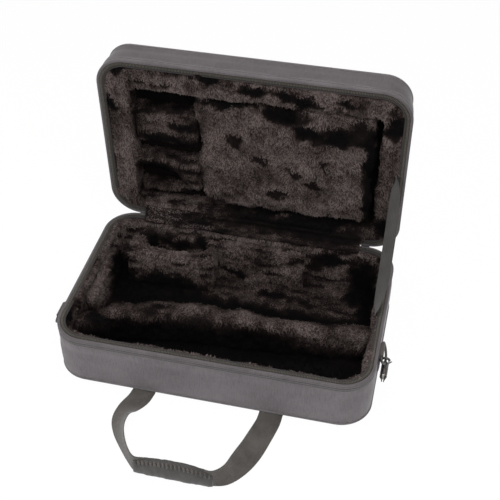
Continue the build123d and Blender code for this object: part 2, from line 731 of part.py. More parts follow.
with BuildPart() as lid_handle_strap:
    add(make_leg(lid_loop_point, -1))
    add(make_leg(lid_loop_point, 1))
save(lid_handle_strap, "lid_handle_strap")

# Webbing that turns over from the lid's panel into the hanging loop
FOLD_OUTER = LID_FOLD_RADIUS + STRAP_THICKNESS / 2
FOLD_CENTRE = lid_point(0, LID_HANDLE_FOLD, LID_DEPTH + FOLD_OUTER)
with BuildPart() as lid_handle_folds:
    for side in (-1, 1):
        fold_plane = Plane(origin=FOLD_CENTRE, x_dir=LID_V, z_dir=(-1, 0, 0))
        with BuildSketch(fold_plane.offset(-side * HALF_SPACING - HANDLE_WIDTH / 2)):
            Circle(FOLD_OUTER)
            Circle(FOLD_OUTER - STRAP_THICKNESS, mode=Mode.SUBTRACT)
            with Locations((-FOLD_OUTER, 0)):
                Rectangle(2 * FOLD_OUTER, 2 * FOLD_OUTER, mode=Mode.SUBTRACT)
        extrude(amount=HANDLE_WIDTH)
save(lid_handle_folds, "lid_handle_folds")


def make_grip(place):
    """Padded sleeve around both webbing ends, crowned along its top edge."""
    origin = place(GRIP_MIDDLE, HANDLE_REACH, GRIP_RISE)
    rise_way = place(0, 0, 1) - place(0, 0, 0)
    half_length = (GRIP_RIGHT - GRIP_LEFT) / 2 - SOFT_GAP
    with BuildPart() as grip:
        for share, grow in GRIP_CROWN:
            centre = origin + Vector(1, 0, 0) * (share * half_length)
            height = GRIP_HEIGHT * grow
            thickness = GRIP_THICKNESS * grow
            with BuildSketch(Plane(origin=centre, x_dir=rise_way, z_dir=(1, 0, 0))):
                RectangleRounded(height, thickness, GRIP_ROUND * grow)
        loft()
    return grip


base_grip = make_grip(base_loop_point)
save(base_grip, "base_grip")

lid_grip = make_grip(lid_loop_point)
save(lid_grip, "lid_grip")

# Rings and their webbing tabs on the end walls
RING_X = CASE_WIDTH / 2 + BAND_THICKNESS + SOFT_GAP + TAB_THICKNESS + RING_CLEARANCE + RING_WIRE
CURL_OUTER = RING_WIRE + RING_CLEARANCE + TAB_THICKNESS
BAND_FOOT = BASE_HEIGHT - RIM_SEAT - BAND_HEIGHT
RING_LENGTH = RING_CORNER + RING_HALF


def ring_place(side):
    """Place of a ring along its end wall."""
    return RIGHT_RING_Y if side > 0 else LEFT_RING_Y


def make_tab(side):
    """Folded webbing tab sewn to the end wall, curled round the ring's bar."""
    wall = CASE_WIDTH / 2
    start = ring_place(side) - TAB_WIDTH / 2
    with BuildPart() as tab:
        with BuildSketch(Plane.XZ.offset(-start)):
            with BuildLine():
                Polyline(
                    (side * wall, TAB_FOOT),
                    (side * (wall + 2 * TAB_THICKNESS), TAB_FOOT),
                    (side * (wall + 2 * TAB_THICKNESS), TAB_SHOULDER),
                    (side * (RING_X + CURL_OUTER / 2), RING_Z - CURL_OUTER / 2),
                    (side * RING_X, RING_Z),
                    (side * (wall + BAND_THICKNESS + SOFT_GAP), RING_Z - TAB_BACK_DROP),
                    (side * (wall + BAND_THICKNESS + SOFT_GAP), BAND_FOOT - SOFT_GAP),
                    (side * wall, BAND_FOOT - SOFT_GAP),
                    close=True,
                )
            make_face()
            with Locations((side * RING_X, RING_Z)):
                Circle(CURL_OUTER)
                Circle(RING_WIRE + RING_CLEARANCE, mode=Mode.SUBTRACT)
        extrude(amount=-TAB_WIDTH)
    return tab


def make_d_ring(side):
    """Ring of round wire with a straight bar, hanging and leaning outwards."""
    lean = radians(RING_TILT)
    down = (side * sin(lean), 0, -cos(lean))
    bar_middle = (side * RING_X, ring_place(side), RING_Z)
    plane = Plane(origin=bar_middle, x_dir=(0, 1, 0), z_dir=Vector(0, 1, 0).cross(Vector(*down)))
    straight = RING_HALF - RING_CORNER
    corner = RING_CORNER * (1 - sin(radians(45)))
    with BuildPart() as ring:
        with BuildLine(plane) as path:
            Line((0, 0), (straight, 0))
            ThreePointArc((straight, 0), (RING_HALF - corner, corner), (RING_HALF, RING_CORNER))
            ThreePointArc((RING_HALF, RING_CORNER), (0, RING_LENGTH), (-RING_HALF, RING_CORNER))
            ThreePointArc((-RING_HALF, RING_CORNER), (-RING_HALF + corner, corner), (-straight, 0))
            Line((-straight, 0), (0, 0))
        with BuildSketch(Plane(origin=path.line @ 0, z_dir=path.line % 0)):
            Circle(RING_WIRE)
        sweep()
    return ring


left_ring_tab = make_tab(-1)
save(left_ring_tab, "left_ring_tab")
right_ring_tab = make_tab(1)
save(right_ring_tab, "right_ring_tab")
left_d_ring = make_d_ring(-1)
save(left_d_ring, "left_d_ring")
right_d_ring = make_d_ring(1)
save(right_d_ring, "right_d_ring")

# Snap hook that hangs from the right ring
HOOK_X = RING_X + RING_LENGTH * sin(radians(RING_TILT))
RING_FOOT = RING_Z - RING_LENGTH * cos(radians(RING_TILT))
HOOK_INNER = HOOK_RADIUS - HOOK_WIRE
HOOK_Z = RING_FOOT - (HOOK_INNER - RING_WIRE - RING_CLEARANCE)
BARREL_TOP = HOOK_Z - HOOK_INNER
BARREL_FOOT = BARREL_TOP - BARREL_LENGTH
HOOK_PLANE = Plane(origin=(HOOK_X, RIGHT_RING_Y, HOOK_Z), x_dir=(1, 0, 0), z_dir=(0, -1, 0))
with BuildPart() as snap_hook:
    with BuildLine(HOOK_PLANE) as hook_path:
        CenterArc((0, 0), HOOK_RADIUS, -90, -HOOK_SWEEP)
    with BuildSketch(Plane(origin=hook_path.line @ 0, z_dir=hook_path.line % 0)):
        Circle(HOOK_WIRE)
    sweep()
    with BuildSketch(Plane.XY.offset(BARREL_FOOT)):
        with Locations((HOOK_X, RIGHT_RING_Y)):
            Circle(BARREL_RADIUS)
    extrude(amount=BARREL_LENGTH)
    with BuildSketch(Plane.XY.offset(BARREL_FOOT)):
        with Locations((HOOK_X, RIGHT_RING_Y)):
            Circle(POST_RADIUS + RING_CLEARANCE)
    extrude(amount=BARREL_LENGTH - POST_SHY, mode=Mode.SUBTRACT)
save(snap_hook, "snap_hook")

# Swivelling eye under the barrel
EYE_WIDTH = TAB_WIDTH + 4 * EYE_WIRE + 2 * RING_CLEARANCE
EYE_TOP = BARREL_FOOT - RING_CLEARANCE - EYE_WIRE
EYE_FOOT = EYE_TOP - EYE_DROP
with BuildPart() as swivel_eye:
    with BuildSketch(Plane.XZ.offset(-RIGHT_RING_Y)):
        with Locations((HOOK_X, (EYE_TOP + EYE_FOOT) / 2)):
            Rectangle(2 * EYE_WIRE, EYE_DROP + 2 * EYE_WIRE)
    extrude(amount=EYE_WIDTH / 2, both=True)
    with BuildSketch(Plane.YZ.offset(HOOK_X)):
        with Locations((RIGHT_RING_Y, (EYE_TOP + EYE_FOOT) / 2)):
            Rectangle(EYE_WIDTH - 4 * EYE_WIRE, EYE_DROP - 2 * EYE_WIRE)
    extrude(amount=2 * EYE_WIRE, both=True, mode=Mode.SUBTRACT)
    fillet(swivel_eye.edges().filter_by(Axis.X), radius=0.9 * EYE_WIRE)
    with BuildSketch(Plane.XY.offset(EYE_TOP)):
        with Locations((HOOK_X, RIGHT_RING_Y)):
            Circle(POST_RADIUS)
    extrude(amount=BARREL_LENGTH - POST_SHY)
save(swivel_eye, "swivel_eye")

# Short folded end of webbing in the eye
END_CURL = EYE_WIRE * 1.5 + RING_CLEARANCE
with BuildPart() as strap_end:
    with BuildSketch(Plane.XZ.offset(-RIGHT_RING_Y)):
        with Locations((HOOK_X, EYE_FOOT)):
            Circle(END_CURL + STRAP_END_PLY)
            with Locations((0, -STRAP_END_DROP / 2)):
                Rectangle(2 * (END_CURL + STRAP_END_PLY), STRAP_END_DROP)
        with Locations((HOOK_X, EYE_FOOT)):
            Circle(END_CURL, mode=Mode.SUBTRACT)
    extrude(amount=TAB_WIDTH / 2, both=True)
    foot_edges = strap_end.edges().filter_by(Axis.Y).sort_by(Axis.Z)[:2]
    fillet(foot_edges, radius=STRAP_END_PLY)
save(strap_end, "strap_end")

# Spring gate of the hook, with its thumb pin
GATE_X = HOOK_X + BARREL_RADIUS + RING_CLEARANCE + GATE_RADIUS
GATE_Z = BARREL_TOP - GATE_RADIUS
with BuildPart() as hook_gate:
    with BuildSketch(Plane.XY.offset(GATE_Z)):
        with Locations((GATE_X, RIGHT_RING_Y)):
            Circle(GATE_RADIUS)
    extrude(amount=GATE_LENGTH)
    thumb_way = (sin(radians(THUMB_LEAN)), 0, cos(radians(THUMB_LEAN)))
    with BuildSketch(Plane(origin=(GATE_X, RIGHT_RING_Y, GATE_Z + GATE_RADIUS), z_dir=thumb_way)):
        Circle(GATE_RADIUS)
    extrude(amount=THUMB_LENGTH)
save(hook_gate, "hook_gate")

# Zip sliders parked at the two ends of the zip, with hanging pulls
SLIDER_Y = HALF_DEPTH + BAND_THICKNESS + SOFT_GAP
SLIDER_PLATE = SLIDER_THICKNESS - BRIDGE_WIRE
SLIDER_Z = BASE_HEIGHT - RIM_SEAT - SLIDER_WIDTH / 2
BRIDGE_GAP = 2.5
BRIDGE_Y = SLIDER_Y + SLIDER_PLATE + BRIDGE_GAP + BRIDGE_WIRE / 2
LINK_WIRE = 0.6
LINK_RADIUS = BRIDGE_WIRE / 2 + LINK_WIRE + 0.9
SLIDER_X = ZIP_END + SLIDER_LENGTH / 2


def make_slider(side):
    """Slider plate with a raised bridge for its pull."""
    with BuildPart() as slider:
        with BuildSketch(Plane.XZ.offset(-SLIDER_Y)):
            with Locations((side * SLIDER_X, SLIDER_Z)):
                RectangleRounded(SLIDER_LENGTH, SLIDER_WIDTH, SLIDER_WIDTH / 4)
        extrude(amount=-SLIDER_PLATE)
        with BuildSketch(Plane.XY.offset(SLIDER_Z)):
            with Locations((side * SLIDER_X, SLIDER_Y + SLIDER_PLATE + (BRIDGE_GAP + BRIDGE_WIRE) / 2)):
                Rectangle(SLIDER_LENGTH - BRIDGE_WIRE, BRIDGE_GAP + BRIDGE_WIRE)
            with Locations((side * SLIDER_X, SLIDER_Y + SLIDER_PLATE + BRIDGE_GAP / 2)):
                Rectangle(SLIDER_LENGTH - 3 * BRIDGE_WIRE, BRIDGE_GAP, mode=Mode.SUBTRACT)
        extrude(amount=BRIDGE_WIRE / 2, both=True)
    return slider


def make_pull(side):
    """Pull tab hanging from a wire link round the bridge."""
    top = SLIDER_Z - LINK_RADIUS + LINK_WIRE
    with BuildPart() as pull:
        with BuildSketch(Plane.XZ.offset(-BRIDGE_Y)):
            with Locations((side * SLIDER_X, SLIDER_Z + LINK_RADIUS)):
                Circle(LINK_WIRE)
        revolve(axis=Axis((side * SLIDER_X, BRIDGE_Y, SLIDER_Z), (1, 0, 0)))
        with BuildSketch(Plane.XZ.offset(-BRIDGE_Y)):
            with Locations((side * SLIDER_X, top - PULL_LENGTH / 2)):
                RectangleRounded(PULL_WIDTH, PULL_LENGTH, PULL_WIDTH / 3)
        extrude(amount=PULL_THICKNESS / 2, both=True)
    return pull


left_zip_slider = make_slider(-1)
save(left_zip_slider, "left_zip_slider")
right_zip_slider = make_slider(1)
save(right_zip_slider, "right_zip_slider")
left_zip_pull = make_pull(-1)
save(left_zip_pull, "left_zip_pull")
right_zip_pull = make_pull(1)
save(right_zip_pull, "right_zip_pull")
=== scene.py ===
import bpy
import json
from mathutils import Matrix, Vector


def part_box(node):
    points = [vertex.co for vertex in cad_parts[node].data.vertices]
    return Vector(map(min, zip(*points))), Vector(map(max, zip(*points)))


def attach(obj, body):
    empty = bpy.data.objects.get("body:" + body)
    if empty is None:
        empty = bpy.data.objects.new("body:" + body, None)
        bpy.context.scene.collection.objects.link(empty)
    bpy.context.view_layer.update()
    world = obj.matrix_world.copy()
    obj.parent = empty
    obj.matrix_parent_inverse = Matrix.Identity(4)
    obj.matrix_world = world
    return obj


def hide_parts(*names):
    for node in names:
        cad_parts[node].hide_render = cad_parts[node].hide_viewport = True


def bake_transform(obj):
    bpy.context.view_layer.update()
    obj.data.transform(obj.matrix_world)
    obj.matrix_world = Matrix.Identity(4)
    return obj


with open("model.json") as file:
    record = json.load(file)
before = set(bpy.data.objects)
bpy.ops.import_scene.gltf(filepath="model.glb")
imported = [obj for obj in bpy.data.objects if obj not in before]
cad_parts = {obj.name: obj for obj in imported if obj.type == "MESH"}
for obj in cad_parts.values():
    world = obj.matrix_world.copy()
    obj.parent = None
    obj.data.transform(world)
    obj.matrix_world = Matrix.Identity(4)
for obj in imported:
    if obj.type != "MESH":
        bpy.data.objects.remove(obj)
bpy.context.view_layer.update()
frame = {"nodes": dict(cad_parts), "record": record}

import json
import math

import bmesh
import bpy
import numpy as np
from mathutils import Matrix, Vector
from mathutils.bvhtree import BVHTree

# Soft cornet case, lid open. Metres, in the model's own frame: X right, Y back, Z up.
MM = 0.001

# Case body, read from the frame where it can be
SHELL_LOW, SHELL_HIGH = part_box("base_side_cover")
WIDTH = SHELL_HIGH[0] - SHELL_LOW[0]
DEPTH = SHELL_HIGH[1] - SHELL_LOW[1]
HALF_DEPTH = DEPTH / 2
JOINTS = {joint["name"]: joint for joint in frame["record"]["behaviour"]["joints"]}
HINGE = JOINTS["lid_hinge"]
RIM = HINGE["pos_m"][2]
OPEN = math.radians(HINGE["range_deg"][1])
CORNER = 42 * MM
LID_DEPTH = 45 * MM
NARROWING = 6.5 * MM
RIM_SEAT = 2.25 * MM
ZIP_END = 163 * MM
COVER = 1.2 * MM
PANEL = 3 * MM

# Camera fitted to the photograph
CAMERA_PLACE = (0.2485, -0.9477, 1.0295)
CAMERA_TARGET = (0.04586, -0.07529, 0.23137)
CAMERA_ROLL = math.radians(-0.09)
LENS = 70.6
SENSOR = 36.0


def lid_point(x, v, w):
    """Point or points on the open lid: v from the hinge to the free edge, w from the rim outwards."""
    return (
        x,
        HALF_DEPTH - v * math.cos(OPEN) + w * math.sin(OPEN),
        RIM + v * math.sin(OPEN) + w * math.cos(OPEN),
    )


def base_place(points):
    """Points of the base from plan x, plan y and height above the bottom."""
    return np.array(points, float)


def lid_place(points):
    """Points of the lid from plan x, plan y and distance outwards from its rim."""
    p = np.array(points, float)
    return np.column_stack(lid_point(p[:, 0], HALF_DEPTH - p[:, 1], p[:, 2]))


# Numbers, lines and noise
def limit(values):
    """Values held between 0 and 1."""
    return np.clip(values, 0, 1)


def unit(rows):
    """Each row at length one."""
    return rows / np.linalg.norm(rows, axis=1)[:, None]


def run_along(points):
    """Distance run at each of a line of points."""
    return np.concatenate([[0.0], np.cumsum(np.linalg.norm(np.diff(points, axis=0), axis=1))])


def at_stops(stops, run, rows):
    """Rows of numbers read off at some distances along the run."""
    return np.column_stack([np.interp(stops, run, rows[:, k]) for k in range(rows.shape[1])])


def along_corners(corners, steps):
    """Even steps along the straight lines from corner to corner, up to the last one."""
    points = []
    for (x0, y0), (x1, y1) in zip(corners, corners[1:]):
        for t in np.linspace(0, 1, steps, endpoint=False):
            points.append((x0 + (x1 - x0) * t, y0 + (y1 - y0) * t))
    return points


def at_level(plan, level):
    """Plan points raised to one level."""
    return np.column_stack([plan, np.full(len(plan), level)])


def waves(points, wavelength, seed, count=14):
    """Smooth noise of about -1 to 1 from a few crossing waves."""
    rng = np.random.default_rng(seed)
    ways = unit(rng.normal(size=(count, 3)))
    pitch = 2 * np.pi / (wavelength * rng.uniform(0.65, 1.5, count))
    phase = rng.uniform(0, 2 * np.pi, count)
    field = np.cos(points @ (ways * pitch[:, None]).T + phase).sum(1)
    return field / math.sqrt(count)


def wave_ways(points, wavelength, seed):
    """Three fields of noise side by side, as a way for each point."""
    return np.column_stack([waves(points, wavelength, seed + k) for k in range(3)])


# Mesh helpers
def add_object(name, data):
    """New object in the scene."""
    obj = bpy.data.objects.new(name, data)
    bpy.context.scene.collection.objects.link(obj)
    return obj


def make_object(name, verts, faces):
    """Smooth mesh object from points and faces, with its faces turned outwards."""
    mesh = bpy.data.meshes.new(name)
    mesh.from_pydata([tuple(v) for v in verts], [], [tuple(f) for f in faces])
    shape = bmesh.new()
    shape.from_mesh(mesh)
    bmesh.ops.recalc_face_normals(shape, faces=shape.faces)
    shape.to_mesh(mesh)
    shape.free()
    mesh.shade_smooth()
    return add_object(name, mesh)


def clothe(obj, material, slot, *nodes):
    """Give a new piece its material and hide the nodes that it stands for; its finish, the slot, is not
    used.
    """
    obj.data.materials.clear()
    obj.data.materials.append(material)
    if nodes:
        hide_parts(*nodes)


def dress(obj, material, body, slot, *nodes):
    """Clothe a new piece that rides one body."""
    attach(obj, body)
    clothe(obj, material, slot, *nodes)


def grid_faces(rows, columns, close_rows=False, close_columns=False):
    """Quads over a grid of points stored row by row."""
    faces = []
    for i in range(rows if close_rows else rows - 1):
        for j in range(columns if close_columns else columns - 1):
            a = i * columns + j
            b = i * columns + (j + 1) % columns
            c = ((i + 1) % rows) * columns + (j + 1) % columns
            d = ((i + 1) % rows) * columns + j
            faces.append((a, b, c, d))
    return faces


def tube_faces(rows, columns):
    """Quads round a tube of rings, with one face over each end."""
    faces = grid_faces(rows, columns, close_columns=True)
    faces.append(tuple(range(columns)))
    faces.append(tuple((rows - 1) * columns + j for j in range(columns)))
    return faces


# The path round the case: straight sides and corner arcs, whole or from one end of the zip to the other
class Path:
    """Samples round the rounded oblong, each with its place on the straights and its outward way."""

    def __init__(self, spacing, whole):
        half_x = WIDTH / 2 - CORNER
        half_y = HALF_DEPTH - CORNER
        share = []
        back_end = 0.0 if whole else ZIP_END / half_x
        for x0, y0, x1, y1, n0, n1 in (
            (back_end, 1, 1, 1, 90, 90),
            (1, 1, 1, 1, 90, 0),
            (1, 1, 1, -1, 0, 0),
            (1, -1, 1, -1, 0, -90),
            (1, -1, -1, -1, -90, -90),
            (-1, -1, -1, -1, -90, -180),
            (-1, -1, -1, 1, -180, -180),
            (-1, 1, -1, 1, -180, -270),
            (-1, 1, -back_end, 1, -270, -270),
        ):
            straight = math.hypot((x1 - x0) * half_x, (y1 - y0) * half_y)
            arc = CORNER * math.radians(abs(n1 - n0))
            steps = max(int(round((straight + arc) / spacing)), 1)
            for k in range(steps):
                t = k / steps
                turn = math.radians(n0 + (n1 - n0) * t)
                share.append((x0 + (x1 - x0) * t, y0 + (y1 - y0) * t, math.cos(turn), math.sin(turn)))
        if not whole:
            share.append((-back_end, 1.0, 0.0, 1.0))
        self.share = np.array(share)
        self.whole = whole

    def plan(self, inset, narrowing):
        """Plan points at an inset, with the ends leaning in by narrowing."""
        reach = CORNER - narrowing - inset
        spare = max(-reach, 0.0)
        reach = max(reach, 0.0)
        cx = max(WIDTH / 2 - CORNER - spare, 0.0)
        cy = max(HALF_DEPTH - CORNER + narrowing - spare, 0.0)
        s = self.share
        return np.column_stack([s[:, 0] * cx + s[:, 2] * reach, s[:, 1] * cy + s[:, 3] * reach])


def no_narrowing(_):
    """The base's walls stand straight."""
    return 0.0


def lid_narrowing(level):
    """The lid's ends lean in towards its outer panel."""
    return NARROWING * level / LID_DEPTH


# Plan-to-model places and narrowing of the two shells
SHELLS = {"base": (base_place, no_narrowing), "lid": (lid_place, lid_narrowing)}


def sweep(name, path, place, narrowing, section, wobble=None):
    """Closed section of (outwards, level) points carried along the path."""
    grid = np.stack([at_level(path.plan(-out, narrowing(level)), level) for out, level in section], axis=1)
    if wobble is not None:
        grid = wobble(grid)
    rows, columns = grid.shape[:2]
    faces = grid_faces(rows, columns, True, True) if path.whole else tube_faces(rows, columns)
    return make_object(name, place(grid.reshape(-1, 3)), faces)


def shell_sweep(label, cloth, path, section, material, slot, solid, wobble=None):
    """Swept cloth of the base or the lid in place of one of its solids."""
    piece = sweep(f"{label}_{cloth}", path, *SHELLS[label], section, wobble)
    dress(piece, material, label, slot, f"{label}_{solid}")


def scatter(name, template, faces, places, ways):
    """One mesh with the template copied to each place and turned by each 3x3 of ways."""
    template = np.array(template, float)
    copies = np.einsum("nij,kj->nki", ways, template) + places[:, None, :]
    count, size = copies.shape[:2]
    all_faces = []
    for k in range(count):
        start = k * size
        all_faces.extend(tuple(start + i for i in face) for face in faces)
    return make_object(name, copies.reshape(-1, 3), all_faces)


def capsule(length, width, height, sides=6):
    """Low rounded bead along X, for a stitch or a tooth."""
    verts = []
    stations = ((-0.5, 0.35), (-0.38, 0.85), (0.0, 1.0), (0.38, 0.85), (0.5, 0.35))
    for along, grow in stations:
        for k in range(sides):
            turn = 2 * math.pi * k / sides
            across = math.cos(turn) * width / 2 * grow
            verts.append((along * length, across, math.sin(turn) * height / 2 * grow))
    return verts, tube_faces(len(stations), sides)


def frames_along(points, normals):
    """3x3 turns whose X runs along the points and Z along the normals."""
    along = unit(np.gradient(points, axis=0))
    across = unit(np.cross(normals, along))
    return np.stack([along, across, np.cross(along, across)], axis=2)


def stitch_row(name, points, normals, pitch, length, width, height):
    """Row of thread stitches along a line of points on a surface."""
    run = run_along(points)
    stops = np.arange(pitch / 2, run[-1], pitch)
    places = at_stops(stops, run, points)
    facing = unit(at_stops(stops, run, normals))
    return scatter(name, *capsule(length, width, height, 5), places, frames_along(places, facing))


# Materials
def new_material(name):
    """Empty node material with a Principled shader, its nodes and links."""
    material = bpy.data.materials.new(name)
    material.use_nodes = True
    tree = material.node_tree
    return material, tree, tree.nodes["Principled BSDF"]


def set_inputs(made, **values):
    """Give a node's inputs their values; an underscore stands for a space."""
    for key, value in values.items():
        made.inputs[key.replace("_", " ")].default_value = value


def node(tree, kind, **values):
    """New node with some inputs set."""
    made = tree.nodes.new(kind)
    set_inputs(made, **values)
    return made


def scaled_place(tree, scale=(1.0, 1.0, 1.0)):
    """The object's own coordinates, scaled along each axis."""
    coordinates = node(tree, "ShaderNodeTexCoord")
    mapping = node(tree, "ShaderNodeMapping", Scale=scale)
    tree.links.new(coordinates.outputs["Object"], mapping.inputs["Vector"])
    return mapping.outputs["Vector"]


def noise(tree, vector, scale, detail, roughness):
    """Noise value of about 0 to 1."""
    made = node(tree, "ShaderNodeTexNoise", Scale=scale, Detail=detail, Roughness=roughness)
    tree.links.new(vector, made.inputs["Vector"])
    return made.outputs["Fac"]


def tint(tree, shader, value, *stops):
    """Base colour from a value through (position, colour) stops."""
    made = tree.nodes.new("ShaderNodeValToRGB")
    while len(made.color_ramp.elements) < len(stops):
        made.color_ramp.elements.new(0.5)
    for element, (position, colour) in zip(made.color_ramp.elements, stops):
        element.position = position
        element.color = (*colour, 1.0)
    tree.links.new(value, made.inputs["Fac"])
    tree.links.new(made.outputs["Color"], shader.inputs["Base Color"])


def math_node(tree, operation, a, b):
    """Result of one operation on two values, each a number or an output."""
    made = tree.nodes.new("ShaderNodeMath")
    made.operation = operation
    for socket, value in zip(made.inputs, (a, b)):
        if isinstance(value, (int, float)):
            socket.default_value = value
        else:
            tree.links.new(value, socket)
    return made.outputs["Value"]


def weighted(tree, *parts):
    """Sum of values, each times its share."""
    total = 0.0
    for value, share in parts:
        total = math_node(tree, "ADD", math_node(tree, "MULTIPLY", value, share), total)
    return total


def bump(tree, shader, height, strength, distance):
    """Fine relief from a height value."""
    made = node(tree, "ShaderNodeBump", Strength=strength, Distance=distance)
    tree.links.new(height, made.inputs["Height"])
    tree.links.new(made.outputs["Normal"], shader.inputs["Normal"])


def weave_material(name, dark, light, threads, roughness=0.86, sheen=0.15, patch=26.0):
    """Woven cloth: long fine threads one way, short floats, uneven dye and a soft sheen."""
    material, tree, shader = new_material(name)
    place = scaled_place(tree)
    ribs = noise(tree, scaled_place(tree, threads), 1.0, 3.0, 0.65)
    floats = noise(tree, place, 1300.0, 2.0, 0.6)
    patches = noise(tree, place, patch, 4.0, 0.55)
    mixed = weighted(tree, (ribs, 0.28), (patches, 0.26), (floats, 0.46))
    tint(tree, shader, mixed, (0.34, dark), (0.66, light))
    set_inputs(shader, Roughness=roughness, Sheen_Weight=sheen, Sheen_Roughness=0.5)
    bump(tree, shader, math_node(tree, "ADD", ribs, floats), 0.5, 0.0004)
    return material


def plush_material():
    """Deep pile: its shade, nap and painted shade together, is carried by the tufts, from black roots to
    grey-brown tips where the nap lies flat.
    """
    material, tree, shader = new_material("plush_pile")
    shade = node(tree, "ShaderNodeAttribute")
    shade.attribute_name = "pile_shade"
    grain = math_node(tree, "SUBTRACT", noise(tree, scaled_place(tree), 620.0, 3.0, 0.65), 0.5)
    uneven = math_node(tree, "MULTIPLY", math_node(tree, "MULTIPLY", grain, 1.1), shade.outputs["Fac"])
    value = math_node(tree, "ADD", shade.outputs["Fac"], uneven)
    tint(
        tree,
        shader,
        value,
        (0.02, (0.0008, 0.0005, 0.0005)),
        (0.32, (0.0075, 0.0048, 0.0044)),
        (0.62, (0.046, 0.034, 0.031)),
        (1.0, (0.128, 0.104, 0.098)),
    )
    set_inputs(shader, Roughness=0.8, Specular_IOR_Level=0.06)
    bump(tree, shader, grain, 0.6, 0.0012)
    return material


def webbing_material(name, dark, light):
    """Ribbed webbing: short herringbone floats and dusty raised threads."""
    material, tree, shader = new_material(name)
    place = scaled_place(tree)
    patches = noise(tree, place, 45.0, 4.0, 0.6)
    fine = noise(tree, place, 1500.0, 2.0, 0.55)
    mixed = weighted(tree, (patches, 0.55), (fine, 0.45))
    tint(tree, shader, mixed, (0.34, dark), (0.66, light))
    set_inputs(shader, Roughness=0.8, Sheen_Weight=0.2)
    bump(tree, shader, fine, 0.4, 0.0004)
    return material


def hard_material(name, dark, light, roughness, metallic=0.0, scale=160.0):
    """Painted, plated or moulded part with slightly uneven gloss and rubbed spots."""
    material, tree, shader = new_material(name)
    place = scaled_place(tree)
    patches = noise(tree, place, scale, 5.0, 0.62)
    tint(tree, shader, patches, (0.35, dark), (0.75, light))
    uneven = weighted(tree, (patches, 0.25), (roughness - 0.12, 1.0))
    tree.links.new(uneven, shader.inputs["Roughness"])
    set_inputs(shader, Metallic=metallic)
    bump(tree, shader, noise(tree, place, scale * 6, 2.0, 0.5), 0.12, 0.0002)
    return material


UPRIGHT_THREADS = (640.0, 640.0, 70.0)
LID_THREADS = (640.0, 70.0, 640.0)
SHORT_THREADS = (700.0, 700.0, 700.0)
BASE_NYLON = weave_material(
    "woven_nylon_base", (0.062, 0.054, 0.059), (0.155, 0.138, 0.148), UPRIGHT_THREADS
)
# A darker copy of the base's nylon: painted shade on the lid.
LID_NYLON_PAINTED_SHADE = weave_material("woven_nylon_lid", (0.036, 0.0305, 0.033), (0.090, 0.078, 0.083), LID_THREADS)
BAND = weave_material("folded_nylon_band", (0.044, 0.038, 0.041), (0.112, 0.098, 0.104), UPRIGHT_THREADS)
TAPE = weave_material(
    "zip_tape_cloth", (0.006, 0.005, 0.0045), (0.024, 0.020, 0.018), SHORT_THREADS, sheen=0.05
)
PIPING = weave_material(
    "piping_cloth", (0.060, 0.053, 0.056), (0.145, 0.132, 0.137), SHORT_THREADS, patch=60.0
)
WEBBING = webbing_material("ribbed_webbing", (0.019, 0.0155, 0.013), (0.078, 0.069, 0.061))
STAY_CLOTH = webbing_material("stay_webbing_cloth", (0.009, 0.0075, 0.0065), (0.040, 0.035, 0.031))
GRIP_CLOTH = webbing_material("grip_cloth", (0.011, 0.0095, 0.0085), (0.040, 0.036, 0.033))
THREAD = webbing_material("sewing_thread", (0.03, 0.026, 0.026), (0.08, 0.074, 0.074))
# Dark thread for the band stitches, and painted shade between the grip's overcast stitches.
DARK_THREAD_AND_GAP_SHADE = webbing_material("dark_thread", (0.004, 0.0035, 0.0035), (0.014, 0.012, 0.011))
PLUSH = plush_material()
TEETH = hard_material("zip_teeth_plastic", (0.035, 0.030, 0.021), (0.115, 0.10, 0.075), 0.5, scale=500.0)
BLACK_WIRE = hard_material("black_painted_wire", (0.006, 0.006, 0.006), (0.03, 0.028, 0.026), 0.42)
STEEL = hard_material("dull_nickel", (0.22, 0.21, 0.20), (0.46, 0.44, 0.42), 0.38, 1.0)
BOARD = hard_material("stiff_board", (0.05, 0.045, 0.04), (0.10, 0.09, 0.08), 0.85)
ENAMEL = hard_material("black_enamel", (0.012, 0.012, 0.012), (0.05, 0.048, 0.045), 0.38, 0.3)


# Solids that are carried over as they are
for material, names in (
    (BOARD, ("base_board", "lid_board")),
    (BLACK_WIRE, ("left_d_ring", "right_d_ring", "snap_hook")),
    (STEEL, ("hook_gate", "swivel_eye")),
    (ENAMEL, ("left_zip_slider", "right_zip_slider", "left_zip_pull", "right_zip_pull")),
    (TEETH, ("base_zip_teeth", "lid_zip_teeth")),
):
    for name in names:
        solid_materials = frame["nodes"][name].data.materials
        solid_materials.clear()
        solid_materials.append(material)

# Outer shells
WHOLE = Path(4 * MM, True)
OPEN_RUN = Path(3 * MM, False)
BASE_SEAT = RIM - RIM_SEAT
COVER_SWELL = 1.3 * MM
COVER_DENT = 1.5 * MM
DENT_LEVEL = 0.66
DENT_REACH = 0.09
BACK_FLATNESS = 0.85


def cover_wobble(seed, depth):
    """Cloth over board: faint swells, and creases that fan out near the corners."""

    def change(grid):
        size = grid.shape[:2]
        flat = grid.reshape(-1, 3)
        out = waves(flat, 70 * MM, seed) * 0.35 * MM + waves(flat, 24 * MM, seed + 1) * 0.12 * MM
        place_x, _, way_x, way_y = WHOLE.share.T
        corner = limit(np.abs(way_x * way_y) * 2.0)
        crease = waves(flat * np.array([1, 1, 0.25]), 9 * MM, seed + 2) * 0.22 * MM
        out = out.reshape(size) + crease.reshape(size) * corner[:, None]
        level = limit((grid[:, :, 2] - PANEL) / depth)
        swell = np.sin(level**0.8 * np.pi) * COVER_SWELL
        dent = np.exp(-(((level - DENT_LEVEL) / DENT_REACH) ** 2)) * COVER_DENT
        front = limit(-way_y * 1.5) * limit(0.75 - place_x * 0.45)
        out += swell - dent * front[:, None]
        back = limit(way_y * 1.4) * limit((0.97 - np.abs(place_x)) / 0.1)
        out *= 1 - BACK_FLATNESS * back[:, None]
        moved = grid.copy()
        moved[:, :, 0] += way_x[:, None] * out
        moved[:, :, 1] += way_y[:, None] * out
        return moved

    return change


